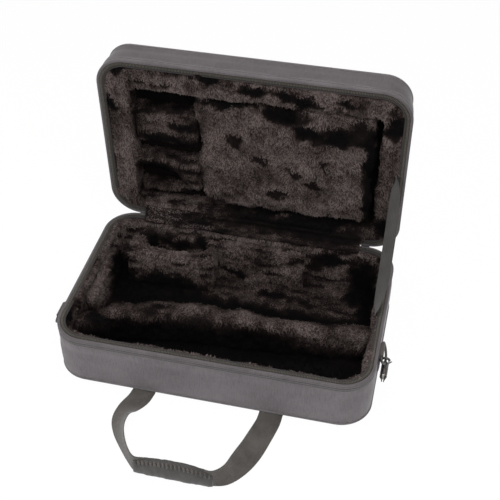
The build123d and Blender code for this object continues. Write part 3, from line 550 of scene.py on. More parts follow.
def cover_section(low, high, rise=4 * MM):
    """Thin wall: up the outside, over the top and down the inside."""
    steps = max(int((high - low) / rise), 2)
    levels = [low + (high - low) * k / steps for k in range(steps + 1)]
    outside = [(0.0, level) for level in levels]
    inside = [(-COVER, high), (-COVER, low)]
    return outside + inside


for label, low, high, material, seed, depth in (
    ("base", PANEL, BASE_SEAT, BASE_NYLON, 3, BASE_SEAT - PANEL),
    ("lid", RIM_SEAT, LID_DEPTH - PANEL, LID_NYLON_PAINTED_SHADE, 5, LID_DEPTH - PANEL),
):
    section = cover_section(low, high)
    wobble = cover_wobble(seed, depth)
    shell_sweep(label, "side_cloth", WHOLE, section, material, "nylon", "side_cover", wobble)


def make_panel(name, label, outer_level, inner_level, seed):
    """Padded end panel with a soft turned edge and faint swells in the cloth."""
    place, narrowing = SHELLS[label]
    sign = 1 if outer_level > inner_level else -1
    edge = abs(outer_level - inner_level)
    turned = ((0.0, 0.0), (0.0, 0.35), (0.15, 0.7), (0.5, 0.95), (1.2, 1.0))
    rows = [(inset * edge, inner_level + sign * rise * edge) for inset, rise in turned]
    rows.append((8 * MM, outer_level))
    lean = narrowing(inner_level)
    rings = [at_level(WHOLE.plan(inset, lean), level) for inset, level in rows]
    for share in np.linspace(0.96, 0.04, 24):
        ring = rings[len(rows) - 1] * np.array([share, share, 1.0])
        fade = min((1 - share) / 0.15, 1.0)
        ring[:, 2] -= sign * np.clip(waves(ring, 90 * MM, seed) + 0.3, 0, 1.3) * 0.35 * MM * fade
        rings.append(ring)
    grid = np.stack(rings, axis=0)
    return make_object(name, place(grid.reshape(-1, 3)), tube_faces(*grid.shape[:2]))


bottom = make_panel("base_bottom_cloth", "base", 0.6 * MM, PANEL, 11)
dress(bottom, BASE_NYLON, "base", "nylon", "base_bottom_panel")
top = make_panel("lid_top_cloth", "lid", LID_DEPTH, LID_DEPTH - PANEL, 13)
dress(top, LID_NYLON_PAINTED_SHADE, "lid", "nylon", "lid_top_panel")

# Piping cord along the outer edges
PIPING_OUT = 0.3 * MM
PIPING_RADIUS = 1.5 * MM
PIPING_LEVEL = 4.7 * MM


def round_section(out, level, radius, sides=10):
    """Round section of a cord."""
    turns = [2 * math.pi * k / sides for k in range(sides)]
    return [(out + radius * math.cos(turn), level + radius * math.sin(turn)) for turn in turns]


for label, level in (("base", PIPING_LEVEL), ("lid", LID_DEPTH - PIPING_LEVEL)):
    section = round_section(PIPING_OUT, level, PIPING_RADIUS)
    shell_sweep(label, "piping_cloth", WHOLE, section, PIPING, "rim_band", "piping")

# Sewn band round each rim: a folded strip with a rolled top edge and two stitched grooves
BAND_PROFILE = (
    (0.1, 10.0), (0.9, 9.9), (1.1, 9.2), (0.95, 8.6), (0.3, 8.2), (0.95, 7.8), (1.25, 6.4),
    (1.2, 5.4), (0.9, 5.1), (0.2, 4.7), (0.9, 4.3), (1.25, 3.4), (1.3, 1.8), (1.2, 0.6),
    (0.8, -0.1), (0.0, -0.45), (-1.2, -0.45), (-2.4, -0.35), (-2.7, 0.0), (0.0, 0.3), (0.05, 5.0),
)
BAND_GROOVES = (4.7 * MM, 8.2 * MM)
# The level of each band's rim, and the sense from it towards the cover
BAND_EDGES = {"base": (BASE_SEAT + 0.8 * MM, -1), "lid": (RIM_SEAT - 0.8 * MM, 1)}
# Pitch, length, width and height of each kind of stitch
BAND_STITCH = (3.4 * MM, 3.0 * MM, 1.0 * MM, 0.6 * MM)
BOX_STITCH = (3.0 * MM, 2.3 * MM, 0.6 * MM, 0.5 * MM)
TAB_STITCH = (2.8 * MM, 2.1 * MM, 0.55 * MM, 0.5 * MM)


def ring_line(path, label, out, level):
    """Points and outward ways along the path at one place of the section."""
    place, narrowing = SHELLS[label]
    plan = path.plan(-out, narrowing(level))
    points = place(at_level(plan, level))
    return points, unit(place(at_level(plan + path.share[:, 2:4] * MM, level)) - points)


for label, (rim, way) in BAND_EDGES.items():
    section = [(out * MM, rim + way * drop * MM) for out, drop in BAND_PROFILE]
    shell_sweep(label, "folded_band", OPEN_RUN, section, BAND, "rim_band", "rim_band")
for label, (rim, way) in BAND_EDGES.items():
    for number, drop in enumerate(BAND_GROOVES):
        line = ring_line(OPEN_RUN, label, 0.8 * MM, rim + way * drop)
        row = stitch_row(f"{label}_band_stitches_{number}", *line, *BAND_STITCH)
        dress(row, DARK_THREAD_AND_GAP_SHADE, label, "rim_band")

# Zip tape and coil teeth
TAPE_INNER = 10.1 * MM


def tape_section(low, high, way):
    """Thin woven tape with a stitched ridge near its inner edge; way points to the mating rim."""
    face = high if way > 0 else low
    back = low if way > 0 else high
    return [
        (-2.4 * MM, face),
        (-7.6 * MM, face),
        (-8.2 * MM, face + way * 0.25 * MM),
        (-8.8 * MM, face),
        (-TAPE_INNER, face - way * 0.1 * MM),
        (-TAPE_INNER, back),
        (-2.4 * MM, back),
    ]


TAPE_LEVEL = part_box("base_zip_tape")[0][2]
TAPE_THICK = 0.8 * MM
for label, low, way in (("base", TAPE_LEVEL, 1), ("lid", RIM - TAPE_LEVEL - TAPE_THICK, -1)):
    section = tape_section(low, low + TAPE_THICK, way)
    shell_sweep(label, "tape_cloth", OPEN_RUN, section, TAPE, "zip_tape", "zip_tape")

TEETH_PITCH = 2.0 * MM
TEETH_MIDDLE = 5.3 * MM
TEETH_SPAN = 3.4 * MM
TEETH_WIDTH = 1.05 * MM
TEETH_RISE = 1.25 * MM


def zip_teeth(label, level, way):
    """Coil of separate teeth, each a low bead across the tape; way points to the mating rim."""
    points, ways = ring_line(OPEN_RUN, label, -TEETH_MIDDLE, level)
    tops = ring_line(OPEN_RUN, label, -TEETH_MIDDLE, level + way * MM)[0]
    run = run_along(points)
    stops = np.arange(TEETH_PITCH / 2, run[-1], TEETH_PITCH)
    places = at_stops(stops, run, points)
    outward = unit(at_stops(stops, run, ways))
    up = at_stops(stops, run, (tops - points) / MM)
    turns = np.stack([outward, np.cross(up, outward), up], axis=2)
    teeth = scatter(f"{label}_coil_teeth", *capsule(TEETH_SPAN, TEETH_WIDTH, TEETH_RISE), places, turns)
    dress(teeth, TEETH, label, "zip_teeth", f"{label}_zip_teeth")


zip_teeth("base", RIM - 0.8 * MM, 1)
zip_teeth("lid", 0.8 * MM, -1)


# Plush pads: soft copies of the foam pieces, covered in tufts
def mesh_arrays(mesh):
    """Points, point normals and triangles of a mesh."""
    points, normals = np.empty(len(mesh.vertices) * 3), np.empty(len(mesh.vertices) * 3)
    mesh.vertices.foreach_get("co", points)
    mesh.vertices.foreach_get("normal", normals)
    mesh.calc_loop_triangles()
    tris = np.empty(len(mesh.loop_triangles) * 3, int)
    mesh.loop_triangles.foreach_get("vertices", tris)
    return points.reshape(-1, 3), normals.reshape(-1, 3), tris.reshape(-1, 3)


def neighbours(own):
    """Search tree over every solid except the piece's own and the loose handles."""
    verts, faces, start = [], [], 0
    for name, solid in frame["nodes"].items():
        if name in own or "handle" in name or "grip" in name:
            continue
        points, _, tris = mesh_arrays(solid.data)
        verts.append(points)
        faces.append(tris + start)
        start += len(points)
    return BVHTree.FromPolygons(np.concatenate(verts).tolist(), np.concatenate(faces).tolist())


def soft_copy(name, source, voxel, rounding):
    """Remeshed and rounded copy of a foam solid."""
    mesh = frame["nodes"][source].data.copy()
    mesh.name = name
    obj = add_object(name, mesh)
    remesh = obj.modifiers.new("remesh", "REMESH")
    remesh.mode = "VOXEL"
    remesh.voxel_size = voxel
    smooth = obj.modifiers.new("rounding", "SMOOTH")
    smooth.factor = 0.5
    smooth.iterations = rounding
    depsgraph = bpy.context.evaluated_depsgraph_get()
    shaped = bpy.data.meshes.new_from_object(obj.evaluated_get(depsgraph))
    obj.modifiers.clear()
    obj.data = shaped
    shaped.name = name
    shaped.shade_smooth()
    return obj


# Places painted nearly black, painted shade and shadow in gaps, dimples and recesses together with pile
# that lies away from the front: x, y, z and reach of each, mm
BASE_NAP_AND_SHADE_SPOTS = (
    (0, -70, 18, 235, 56, 44), (0, -20, 14, 205, 40, 16), (-60, 30, 12, 120, 24, 14),
    (80, 30, 12, 130, 20, 14), (-183, 62, 30, 14, 50, 46), (-150, 30, 12, 34, 40, 22),
    (-148, 102, 58, 18, 12, 15), (-108, 105, 58, 26, 10, 14), (-66, 105, 60, 16, 11, 13),
    (-110, 60, 20, 66, 14, 16), (-20, 92, 30, 24, 8, 8), (122, 122, 60, 24, 10, 16),
    (172, 108, 36, 24, 30, 40), (182, 70, 20, 14, 44, 20), (158, 92, 14, 14, 16, 10),
    (42, 72, 13, 26, 7, 5), (90, 66, 13, 30, 8, 5), (30, 99, 66, 14, 4, 4), (-168, -70, 60, 20, 10, 8),
    (-205, -86, 79, 12, 24, 8),
)
LID_NAP_AND_SHADE_SPOTS = (
    (-35, 145, 297, 44, 20, 8), (42, 145, 288, 34, 20, 15), (78, 145, 264, 30, 20, 14),
    (118, 145, 260, 26, 20, 13), (152, 145, 272, 18, 20, 20), (166, 150, 225, 13, 30, 62),
    (168, 150, 145, 11, 30, 36), (-28, 145, 236, 7, 20, 11), (8, 145, 207, 10, 20, 5),
    (34, 145, 149, 13, 20, 6), (88, 145, 176, 18, 20, 7), (104, 145, 213, 5, 20, 8),
    (60, 145, 193, 12, 20, 4), (60, 150, 102, 125, 30, 13), (-128, 150, 284, 46, 30, 15),
    (-98, 150, 246, 22, 20, 10), (-125, 152, 219, 50, 30, 8), (-143, 150, 164, 32, 30, 17),
    (-112, 150, 118, 62, 30, 9), (0, 140, 330, 34, 30, 10), (70, 140, 318, 24, 30, 8),
    (-60, 140, 336, 20, 30, 6), (46, 140, 326, 20, 30, 7), (128, 140, 326, 20, 30, 6),
    (-199, 130, 280, 8, 30, 12), (-186, 140, 336, 14, 30, 7), (196, 140, 300, 12, 30, 26),
    (192, 140, 120, 14, 30, 16), (-70, 150, 92, 60, 30, 4), (110, 150, 90, 80, 30, 8),
)


def nap_and_painted_shade(points):
    """Shade of the pile, nap and painted light together: 0 in the places of painted shade and dark nap to
    about 1 where light is painted, with darker streaks in the left pockets and low at the back.
    """
    warped = points + wave_ways(points, 24 * MM, 31) * 4.0 * MM + wave_ways(points, 8 * MM, 34) * 1.6 * MM
    open_share = np.ones(len(points))
    for row in BASE_NAP_AND_SHADE_SPOTS + LID_NAP_AND_SHADE_SPOTS:
        middle, reach = np.array(row[:3]) * MM, np.array(row[3:]) * MM
        away = (((warped - middle) / reach) ** 2).sum(1)
        small = row[3] < 21 and row[1] == 145
        open_share *= np.clip((away - 0.40) / 1.15, 0.32 if small else 0.0, 1.0)
    field = waves(points, 58 * MM, 17) * 0.14 + waves(points, 21 * MM, 18) * 0.10
    field += waves(points, 7 * MM, 19) * 0.07
    streaks = limit(waves(points * np.array([0.22, 1.0, 1.0]), 11 * MM, 20) - 0.35)
    x, y, z = points.T
    pockets = limit((-70 * MM - x) / (15 * MM)) * limit((x + 176 * MM) / (8 * MM))
    low = limit((RIM + 28 * MM - z) / (20 * MM)) * limit((y - 40 * MM) / (30 * MM))
    field -= streaks * np.maximum(pockets, low) * 0.6
    return open_share * np.clip(0.78 + field, 0.05, 1.15)


TUFT_LENGTH = 5.2 * MM
TUFT_WIDTH = 1.0 * MM
TUFT_SPACE = 2.6 * MM * MM
# Share of the length, share of the width and rise at four places up a tuft
TUFT_STATIONS = ((0.0, 1.0, 0.0), (0.45, 0.9, 0.30), (0.8, 0.6, 0.34), (1.0, 0.0, 0.30))
# Brightness at a tuft's seven points, from its root to its tip: painted shade darkens the root and the tip
# is lightest
TUFT_SHADE_ROOT_TO_TIP = (0.4, 0.4, 0.8, 0.8, 1.0, 1.0, 1.12)


def pile(points, normals, tris, hidden, lay, seed, dark, dense=1.0, long=1.0):
    """Tufts of pile over the exposed skin: points, faces and shade of each point."""
    rng = np.random.default_rng(seed)
    a, b, c = points[tris[:, 0]], points[tris[:, 1]], points[tris[:, 2]]
    area = np.linalg.norm(np.cross(b - a, c - a), axis=1) / 2
    count = int(area.sum() / TUFT_SPACE * dense)
    chosen = rng.choice(len(tris), count, p=area / area.sum())
    u, v = rng.random(count), rng.random(count)
    flip = u + v > 1
    u[flip], v[flip] = 1 - u[flip], 1 - v[flip]
    w = 1 - u - v
    t = tris[chosen]
    roots, up = (
        rows[t[:, 0]] * w[:, None] + rows[t[:, 1]] * u[:, None] + rows[t[:, 2]] * v[:, None]
        for rows in (points, normals)
    )
    up = unit(up)
    keep = np.array([not hidden(Vector(p), Vector(n)) for p, n in zip(roots, up)])
    roots, up = roots[keep], up[keep]
    count = len(roots)
    shade = nap_and_painted_shade(roots) * dark(roots)
    swirl = wave_ways(roots, 70 * MM, seed + 3) * 0.45 + wave_ways(roots, 14 * MM, seed + 6) * 0.35
    flow = np.array(lay) + swirl + rng.normal(size=(count, 3)) * 0.30
    flow -= up * (flow * up).sum(1)[:, None]
    flow /= np.linalg.norm(flow, axis=1)[:, None] + 1e-9
    side = np.cross(up, flow)
    clump = waves(roots, 9 * MM, seed + 9)
    lift = np.clip(0.50 - 0.30 * shade + 0.16 * clump + rng.normal(size=count) * 0.08, 0.08, 0.95)
    length = TUFT_LENGTH * long * rng.uniform(0.6, 1.15, count)
    width = TUFT_WIDTH * rng.uniform(0.7, 1.3, count)
    roots = roots - up * 0.8 * MM
    flat = np.sqrt(1 - lift**2)
    layers = []
    for along, wide, rise in TUFT_STATIONS:
        middle = roots + flow * (length * along * flat)[:, None]
        middle = middle + up * (length * (rise * 0.55 + along * lift * 0.75))[:, None]
        half = side * (width * wide / 2)[:, None]
        layers += [middle - half, middle + half]
    verts = np.stack(layers[: len(TUFT_SHADE_ROOT_TO_TIP)], axis=1)
    start = np.arange(count)[:, None] * len(TUFT_SHADE_ROOT_TO_TIP)
    quads = np.concatenate([start + np.array([0, 1, 3, 2]), start + np.array([2, 3, 5, 4])])
    tips = start + np.array([4, 5, 6])
    random_tone = rng.uniform(-0.12, 0.12, count)
    tone = np.outer(shade + random_tone * shade, TUFT_SHADE_ROOT_TO_TIP)
    return verts.reshape(-1, 3), quads, tips, tone.reshape(-1)


def join_mesh(name, skin, skin_shade, verts, quads, tips, tone):
    """One mesh of the skin and its tufts, with the pile shade on every point."""
    points, _, tris = skin
    first = len(points)
    all_verts = np.concatenate([points, verts])
    loops = np.concatenate([tris.reshape(-1), (quads + first).reshape(-1), (tips + first).reshape(-1)])
    sizes = np.concatenate([np.full(len(tris), 3), np.full(len(quads), 4), np.full(len(tips), 3)])
    starts = np.concatenate([[0], np.cumsum(sizes)[:-1]])
    mesh = bpy.data.meshes.new(name)
    mesh.vertices.add(len(all_verts))
    mesh.vertices.foreach_set("co", all_verts.reshape(-1))
    mesh.loops.add(len(loops))
    mesh.loops.foreach_set("vertex_index", loops)
    mesh.polygons.add(len(sizes))
    mesh.polygons.foreach_set("loop_start", starts)
    mesh.update(calc_edges=True)
    mesh.validate()
    mesh.shade_smooth()
    attribute = mesh.attributes.new("pile_shade", "FLOAT", "POINT")
    attribute.data.foreach_set("value", np.concatenate([skin_shade, tone]).astype(np.float32))
    return mesh


def lift_skin(obj, rise, shape=None):
    """Move the skin out along its normals by rise(points), and through shape if there is one."""
    points, normals, _ = mesh_arrays(obj.data)
    points = points + normals * rise(points)[:, None]
    if shape is not None:
        points = shape(points)
    obj.data.vertices.foreach_set("co", points.reshape(-1))
    obj.data.update()
    return mesh_arrays(obj.data)


def grow_pile(obj, source, skin, skin_shade, reach, *tufting):
    """Cover the skin in tufts, except where another solid lies within reach."""
    around = neighbours((source, "hinge_lining", "stay_strap"))

    def hidden(point, normal):
        return around.ray_cast(point + normal * 0.5 * MM, normal, reach)[0] is not None

    obj.data = join_mesh(obj.name, skin, skin_shade, *pile(*skin, hidden, *tufting))


def plush_piece(name, source, body, lay, seed, rounding, swell, dark, shape=None, dense=1.0):
    """Soft plush-covered pad in place of a foam solid."""
    obj = soft_copy(name, source, 3 * MM, rounding)

    def rise(points):
        broad, fine = waves(points, 46 * MM, seed), waves(points, 18 * MM, seed + 1)
        return broad * swell * MM + fine * swell * 0.45 * MM

    skin = lift_skin(obj, rise, shape)
    # Painted shade: the skin under the tufts at 0.55 of their light.
    skin_shade = nap_and_painted_shade(skin[0]) * 0.55 * dark(skin[0])
    grow_pile(obj, source, skin, skin_shade, 6 * MM, lay, seed, dark, dense)
    dress(obj, PLUSH, body, "plush", source)


def painted_bay_shade(points):
    """Painted shade: darker low in the bays, darkest low in the front bay, lighter near the rim."""
    depth = (RIM - points[:, 2]) / RIM
    front = limit((-30 * MM - points[:, 1]) / (40 * MM))
    return np.clip(1.24 - 0.38 * depth - 1.6 * front * depth, 0.03, 1.2)


def painted_light_level(gain):
    """Painted light or shade at one level all over a piece."""
    return lambda points: np.full(len(points), gain)


def border_folds(points):
    """Gathers down the left border of the lid and short pulls at its corners."""
    moved = points.copy()
    near = limit((-150 * MM - points[:, 0]) / (15 * MM))
    phase = (points[:, 0] + 0.12 * points[:, 2]) * 2 * np.pi / (12 * MM)
    moved[:, 1] -= near * np.cos(phase + waves(points, 60 * MM, 701)) * 1.5 * MM
    return moved


def cushion_dimples(points):
    """Two shallow pulls and a lengthwise sag in the lid's large cushion."""
    moved = points.copy()
    for x, z, depth in ((-42 * MM, 252 * MM, 5.0), (10 * MM, 178 * MM, 4.0), (96 * MM, 216 * MM, 2.5)):
        away = np.hypot(points[:, 0] - x, points[:, 2] - z) / (16 * MM)
        moved[:, 1] += np.exp(-(away**2)) * depth * MM
    return moved


TOWARDS_FRONT = (0.1, -1.0, -0.5)
DOWN = (0.1, 0.0, -1.0)
# The last function given to each piece paints light and shade: painted shade low in the base's bays, and
# one painted light level for each lid piece, brighter on the cushion and border, darker in the pockets and
# behind them.
plush_piece("floor_plush", "base_floor_pad", "base", TOWARDS_FRONT, 101, 2, 0.6, painted_bay_shade, dense=0.6)
plush_piece("wall_plush", "base_wall_padding", "base", DOWN, 111, 6, 1.0, painted_bay_shade)
plush_piece("slot_block_plush", "accessory_block", "base", DOWN, 121, 8, 1.4, painted_bay_shade)
plush_piece("back_pad_plush", "back_pad", "base", DOWN, 131, 8, 1.6, painted_bay_shade)
plush_piece("left_bolster_plush", "left_bolster", "base", DOWN, 141, 6, 1.2, painted_bay_shade)
plush_piece("divider_plush", "divider", "base", TOWARDS_FRONT, 151, 8, 1.6, painted_bay_shade)
plush_piece("lid_back_plush", "lid_back_pad", "lid", DOWN, 161, 2, 0.6, painted_light_level(0.30), dense=0.6)
plush_piece("lid_border_plush", "lid_border", "lid", DOWN, 171, 5, 1.1, painted_light_level(1.12), border_folds)
plush_piece("lid_cushion_plush", "lid_cushion", "lid", DOWN, 181, 8, 2.0, painted_light_level(1.18), cushion_dimples)
plush_piece("upper_block_plush", "upper_pocket_block", "lid", DOWN, 191, 6, 1.2, painted_light_level(0.82))
plush_piece("mouthpiece_rest_plush", "mouthpiece_rest", "lid", DOWN, 201, 6, 1.2, painted_light_level(0.85))
plush_piece("lower_block_plush", "lower_pocket_block", "lid", DOWN, 211, 5, 1.0, painted_light_level(0.80))

# Webbing: ribbed flat straps along a smooth line
STRAP_THICK = 1.6 * MM
RIB_COUNT = 9
FLOAT_PITCH = 2.6 * MM


def smooth_line(stations, spacing):
    """Rows of numbers passed through smoothly, the first three being a place, at an even spacing."""
    rows = np.array(stations, float)
    ends = np.vstack([2 * rows[0] - rows[1], rows, 2 * rows[-1] - rows[-2]])
    made = []
    for k in range(1, len(ends) - 2):
        a, b, c, d = ends[k - 1], ends[k], ends[k + 1], ends[k + 2]
        square, cube = 2 * a - 5 * b + 4 * c - d, 3 * b - a - 3 * c + d
        for t in np.linspace(0, 1, 24, endpoint=False):
            made.append(0.5 * (2 * b + (c - a) * t + square * t**2 + cube * t**3))
    made.append(rows[-1])
    made = np.array(made)
    run = run_along(made[:, :3])
    return at_stops(np.linspace(0, run[-1], max(int(run[-1] / spacing), 4)), run, made)


def ribbon(name, centres, across, width, thickness=STRAP_THICK, ribs=RIB_COUNT):
    """Closed strap with lengthwise ribs and short woven floats on both faces."""
    along = unit(np.gradient(centres, axis=0))
    across = unit(across - along * (across * along).sum(1)[:, None])
    up = np.cross(along, across)
    run = run_along(centres)
    u = np.linspace(-0.5, 0.5, ribs * 4 + 1)
    rib = np.abs(np.sin(np.pi * ribs * (u + 0.5)))
    order = np.floor((u + 0.5) * ribs)
    weave = 0.5 + 0.5 * np.cos(2 * np.pi * run[:, None] / FLOAT_PITCH + np.pi * order[None, :])
    edge = limit((0.5 - np.abs(u)) * width / (0.7 * MM))
    height = (thickness / 2 - 0.32 * MM) * np.sqrt(edge)[None, :]
    height = height + rib[None, :] * (0.14 + 0.18 * weave) * MM
    flat = centres[:, None, :] + across[:, None, :] * (u * width)[None, :, None]
    raised = up[:, None, :] * height[:, :, None]
    grid = np.concatenate([flat + raised, (flat - raised)[:, ::-1]], axis=1)
    return make_object(name, grid.reshape(-1, 3), tube_faces(*grid.shape[:2]))


HANDLE_WIDTH = 32 * MM
HALF_SPACING = 88 * MM
HANDLE_SEWN = 105 * MM
GRIP_LEFT = -60 * MM
GRIP_RIGHT = 42 * MM
GRIP_RISE = 17.5 * MM
HANDLE_REACH = 127 * MM
LOOP_START = 1.1 * MM
LID_FOLD_V = 258 * MM
LID_FOLD_RADIUS = 4 * MM
LID_STRAP_LEVEL = LID_DEPTH + 2 * LID_FOLD_RADIUS
# Legs of a handle's loop: x, reach and rise in mm, then heading and lean in degrees
LEFT_LEG = (
    (88, 0, 0.8, 0, 0),
    (91, 15, 1.4, 16, 2),
    (97.5, 33, 4.6, 18, 10),
    (101, 52, 9.4, 2, 30),
    (96.5, 73, 14, -14, 54),
    (87.5, 93, 16.6, -32, 74),
    (74, 113, 17.2, -56, 86),
    (60, 127, 17.5, -90, 90),
)
RIGHT_LEG = (
    (88, 0, 0.8, 0, 0),
    (87, 16, 1.3, -5, 2),
    (82, 42, 4, -11, 9),
    (76, 70, 8, -16, 22),
    (67.5, 96, 13, -30, 46),
    (56.5, 117, 16.4, -56, 72),
    (42, 127, 17.5, -90, 90),
)
LEGS = {-1: LEFT_LEG, 1: RIGHT_LEG}


def base_loop(points):
    """Places on the floor in front of the base from x, reach and rise."""
    p = np.array(points, float)
    return np.column_stack([p[:, 0], -HALF_DEPTH - LOOP_START - p[:, 1], p[:, 2]])


def lid_loop(points):
    """Places behind the lid, hanging from the fold near the free edge."""
    p = np.array(points, float)
    return np.column_stack(lid_point(p[:, 0], LID_FOLD_V - p[:, 1], LID_STRAP_LEVEL + p[:, 2]))


def leg(name, place, side, fold):
    """One twisting leg of webbing, from where it leaves the case to inside the grip."""
    rows = [(side * x * MM, reach * MM, rise * MM, *turns) for x, reach, rise, *turns in LEGS[side]]
    grip_end = GRIP_RIGHT if side > 0 else GRIP_LEFT
    rows.append((grip_end - side * 14 * MM, HANDLE_REACH, GRIP_RISE, -90, 90))
    line = smooth_line(rows, 0.9 * MM)
    centres = place(line[:, :3])
    turn, tilt = np.radians(line[:, 3]), np.radians(line[:, 4])
    ends = place(np.vstack([np.zeros(3), np.eye(3)]))
    x_way, reach_way, rise_way = ends[1:] - ends[0]
    level = np.outer(np.cos(turn), x_way) - np.outer(side * np.sin(turn), reach_way)
    across = level * np.cos(tilt)[:, None] - np.outer(side * np.sin(tilt), rise_way)
    if fold:
        radius = LID_FOLD_RADIUS
        middle = LID_DEPTH + radius + STRAP_THICK / 2
        turns = np.linspace(0, math.pi, 18)[:-1]
        round_v, round_w = LID_FOLD_V + radius * np.sin(turns), middle - radius * np.cos(turns)
        lead = np.column_stack(lid_point(np.full(len(turns), side * HALF_SPACING), round_v, round_w))
    else:
        lead = [(side * HALF_SPACING, -HALF_DEPTH - k * LOOP_START / 3, STRAP_THICK / 2) for k in range(3)]
    centres = np.vstack([lead, centres])
    across = np.vstack([np.repeat(across[:1], len(lead), axis=0), across])
    return ribbon(name, centres, across, HANDLE_WIDTH)


def superellipse(height, thickness, sides=28, power=2.6):
    """Rounded oblong section as (rise, depth) offsets."""
    points = []
    for k in range(sides):
        turn = 2 * math.pi * k / sides
        c, s = (math.copysign(abs(v) ** (2 / power), v) for v in (math.cos(turn), math.sin(turn)))
        points.append((c * height / 2, s * thickness / 2))
    return points


GRIP_THICK = 13 * MM
GRIP_TOP = 34.2 * MM
GRIP_FOOT = 0.9 * MM
WHIP_PITCH = 5.3 * MM
WHIP_MARGIN = 3 * MM


def grip_edge(share):
    """Top of the grip, arched towards its middle, and its thickness there."""
    arch = math.sin(math.pi * min(max(share, 0.0), 1.0)) ** 0.7
    return GRIP_TOP - (1 - arch) * 9 * MM, GRIP_THICK * (0.72 + 0.28 * arch)


def grip(label, place, body, node_name):
    """Padded sleeve round the webbing, closed with a row of coarse overcast stitches."""
    rings = []
    count = 70
    for k in range(count + 1):
        share = k / count
        x = GRIP_LEFT + (GRIP_RIGHT - GRIP_LEFT) * share
        top, thick = grip_edge(share)
        end = min(share, 1 - share) * (GRIP_RIGHT - GRIP_LEFT)
        pinch = min(1.0, 0.90 + end / (5 * MM) * 0.10)
        section = superellipse((top - GRIP_FOOT) * pinch, thick * pinch)
        rings.append([(x, HANDLE_REACH - depth, (top + GRIP_FOOT) / 2 + rise) for rise, depth in section])
    grid = np.array(rings)
    flat = grid.reshape(-1, 3)
    middle = np.repeat(grid.mean(axis=1), grid.shape[1], axis=0)
    out = unit((flat - middle) * np.array([0.0, 1.0, 1.0]))
    crease = waves(flat * np.array([1.0, 0.4, 0.4]), 9 * MM, 301) * 0.28 * MM
    crease += waves(flat, 26 * MM, 302) * 0.35 * MM
    flat = flat + out * crease[:, None]
    flat[:, 2] = np.maximum(flat[:, 2], 0.4 * MM)
    sleeve = make_object(f"{label}_grip_sleeve", place(flat), tube_faces(*grid.shape[:2]))
    dress(sleeve, GRIP_CLOTH, body, "grip_cover", node_name)
    places, facing, tangents = [], [], []
    x = GRIP_LEFT + WHIP_MARGIN
    while x < GRIP_RIGHT - WHIP_MARGIN:
        share = (x - GRIP_LEFT) / (GRIP_RIGHT - GRIP_LEFT)
        top, thick = grip_edge(share)
        reach, rise = HANDLE_REACH + thick * 0.40, top - 2.2 * MM
        places.append((x, reach, rise))
        facing.append((x, reach + MM, rise + MM))
        tangents.append((x + 0.45 * MM, reach + 0.8 * MM, rise - 0.8 * MM))
        x += WHIP_PITCH
    places, facing, tangents = place(places), place(facing), place(tangents)
    up = unit(facing - places)
    across = unit(np.cross(up, tangents - places))
    turns = np.stack([np.cross(across, up), across, up], axis=2)
    bars = scatter(f"{label}_grip_overcast", *capsule(6.4 * MM, 3.2 * MM, 1.9 * MM, 8), places, turns)
    dress(bars, WEBBING, body, "grip_cover")
    # Dark beads between the overcast stitches: painted shade, in the dark thread's material.
    step = place([[WHIP_PITCH / 2, 0, 0]]) - place([[0, 0, 0]])
    slit = capsule(5.4 * MM, 1.7 * MM, 1.9 * MM, 8)
    gap_shade = scatter(f"{label}_grip_gap_shade", *slit, places[:-1] + step, turns[:-1])
    dress(gap_shade, DARK_THREAD_AND_GAP_SHADE, body, "grip_cover")


def lid_tail_place(points):
    """Places on the lid's outer panel from x, distance from the fold, and level."""
    p = np.array(points, float)
    return np.column_stack(lid_point(p[:, 0], LID_FOLD_V - p[:, 1], LID_DEPTH + p[:, 2]))


def box_stitches(label, x, near, far):
    """Sewn box with a cross on a lid tail, between two distances from the fold."""
    half = HANDLE_WIDTH / 2 - 3.5 * MM
    left, right = x - half, x + half
    corners = [(left, near), (right, near), (right, far), (left, far), (left, near), (right, far)]
    for number, run in enumerate((corners, [(right, near), (left, far)])):
        flat = at_level(np.array(along_corners(run, 30) + [run[-1]]), BOX_LEVEL)
        points = lid_tail_place(flat)
        facing = (lid_tail_place(flat + np.array([0, 0, MM])) - points) / MM
        row = stitch_row(f"{label}_{number}", points, facing, *BOX_STITCH)
        dress(row, THREAD, "lid", "webbing")


# Handle on the base and its twin on the lid; the webbing bends only where it leaves the case
for label, place, nodes in (
    ("base", base_loop, ("base_handle_strap",)),
    ("lid", lid_loop, ("lid_handle_strap", "lid_handle_folds")),
):
    for side, word in ((-1, "left"), (1, "right")):
        strap = leg(f"{label}_handle_{word}_leg", place, side, label == "lid")
        x = side * HALF_SPACING
        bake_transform(strap)
        clothe(strap, WEBBING, "webbing", *nodes)
    grip(label, place, f"{label}_handle", f"{label}_grip")


# Sewn tails of both handles
BASE_TAIL_LEVEL = 0.78 * MM
LID_TAIL_LEVEL = 0.8 * MM
BOX_LEVEL = 1.65 * MM
BOX_LENGTH = 28 * MM
for side, word in ((-1, "left"), (1, "right")):
    x = side * HALF_SPACING
    stops = np.arange(0, HANDLE_SEWN, 0.9 * MM)
    across = np.tile([1.0, 0, 0], (len(stops), 1))
    line = np.column_stack([np.full(len(stops), x), stops])
    centres = at_level(line - np.array([0, HALF_DEPTH]), BASE_TAIL_LEVEL)
    tail = ribbon(f"base_{word}_tail", centres, across, HANDLE_WIDTH, 1.5 * MM)
    dress(tail, WEBBING, "base", "webbing", "base_handle_tails")
    tail = ribbon(f"lid_{word}_tail", lid_tail_place(at_level(line, LID_TAIL_LEVEL)), across, HANDLE_WIDTH)
    dress(tail, WEBBING, "lid", "webbing", "lid_handle_tails")
    for number, near in enumerate((8 * MM, 68 * MM)):
        box_stitches(f"lid_{word}_box_{number}", x, near, near + BOX_LENGTH)

# Stay strap on the right, twisted between the lid's rim and the base's rim
STAY_WIDTH = 26 * MM
STAY_X = WIDTH / 2 - 13 * MM
STAY_TOP = np.array(lid_point(STAY_X, 131 * MM, 2.7 * MM))
STAY_FOOT = np.array((STAY_X, 4 * MM, RIM - RIM_SEAT + 0.1 * MM))
STAY_TWIST = math.radians(45)
STAY_BOW = 5 * MM


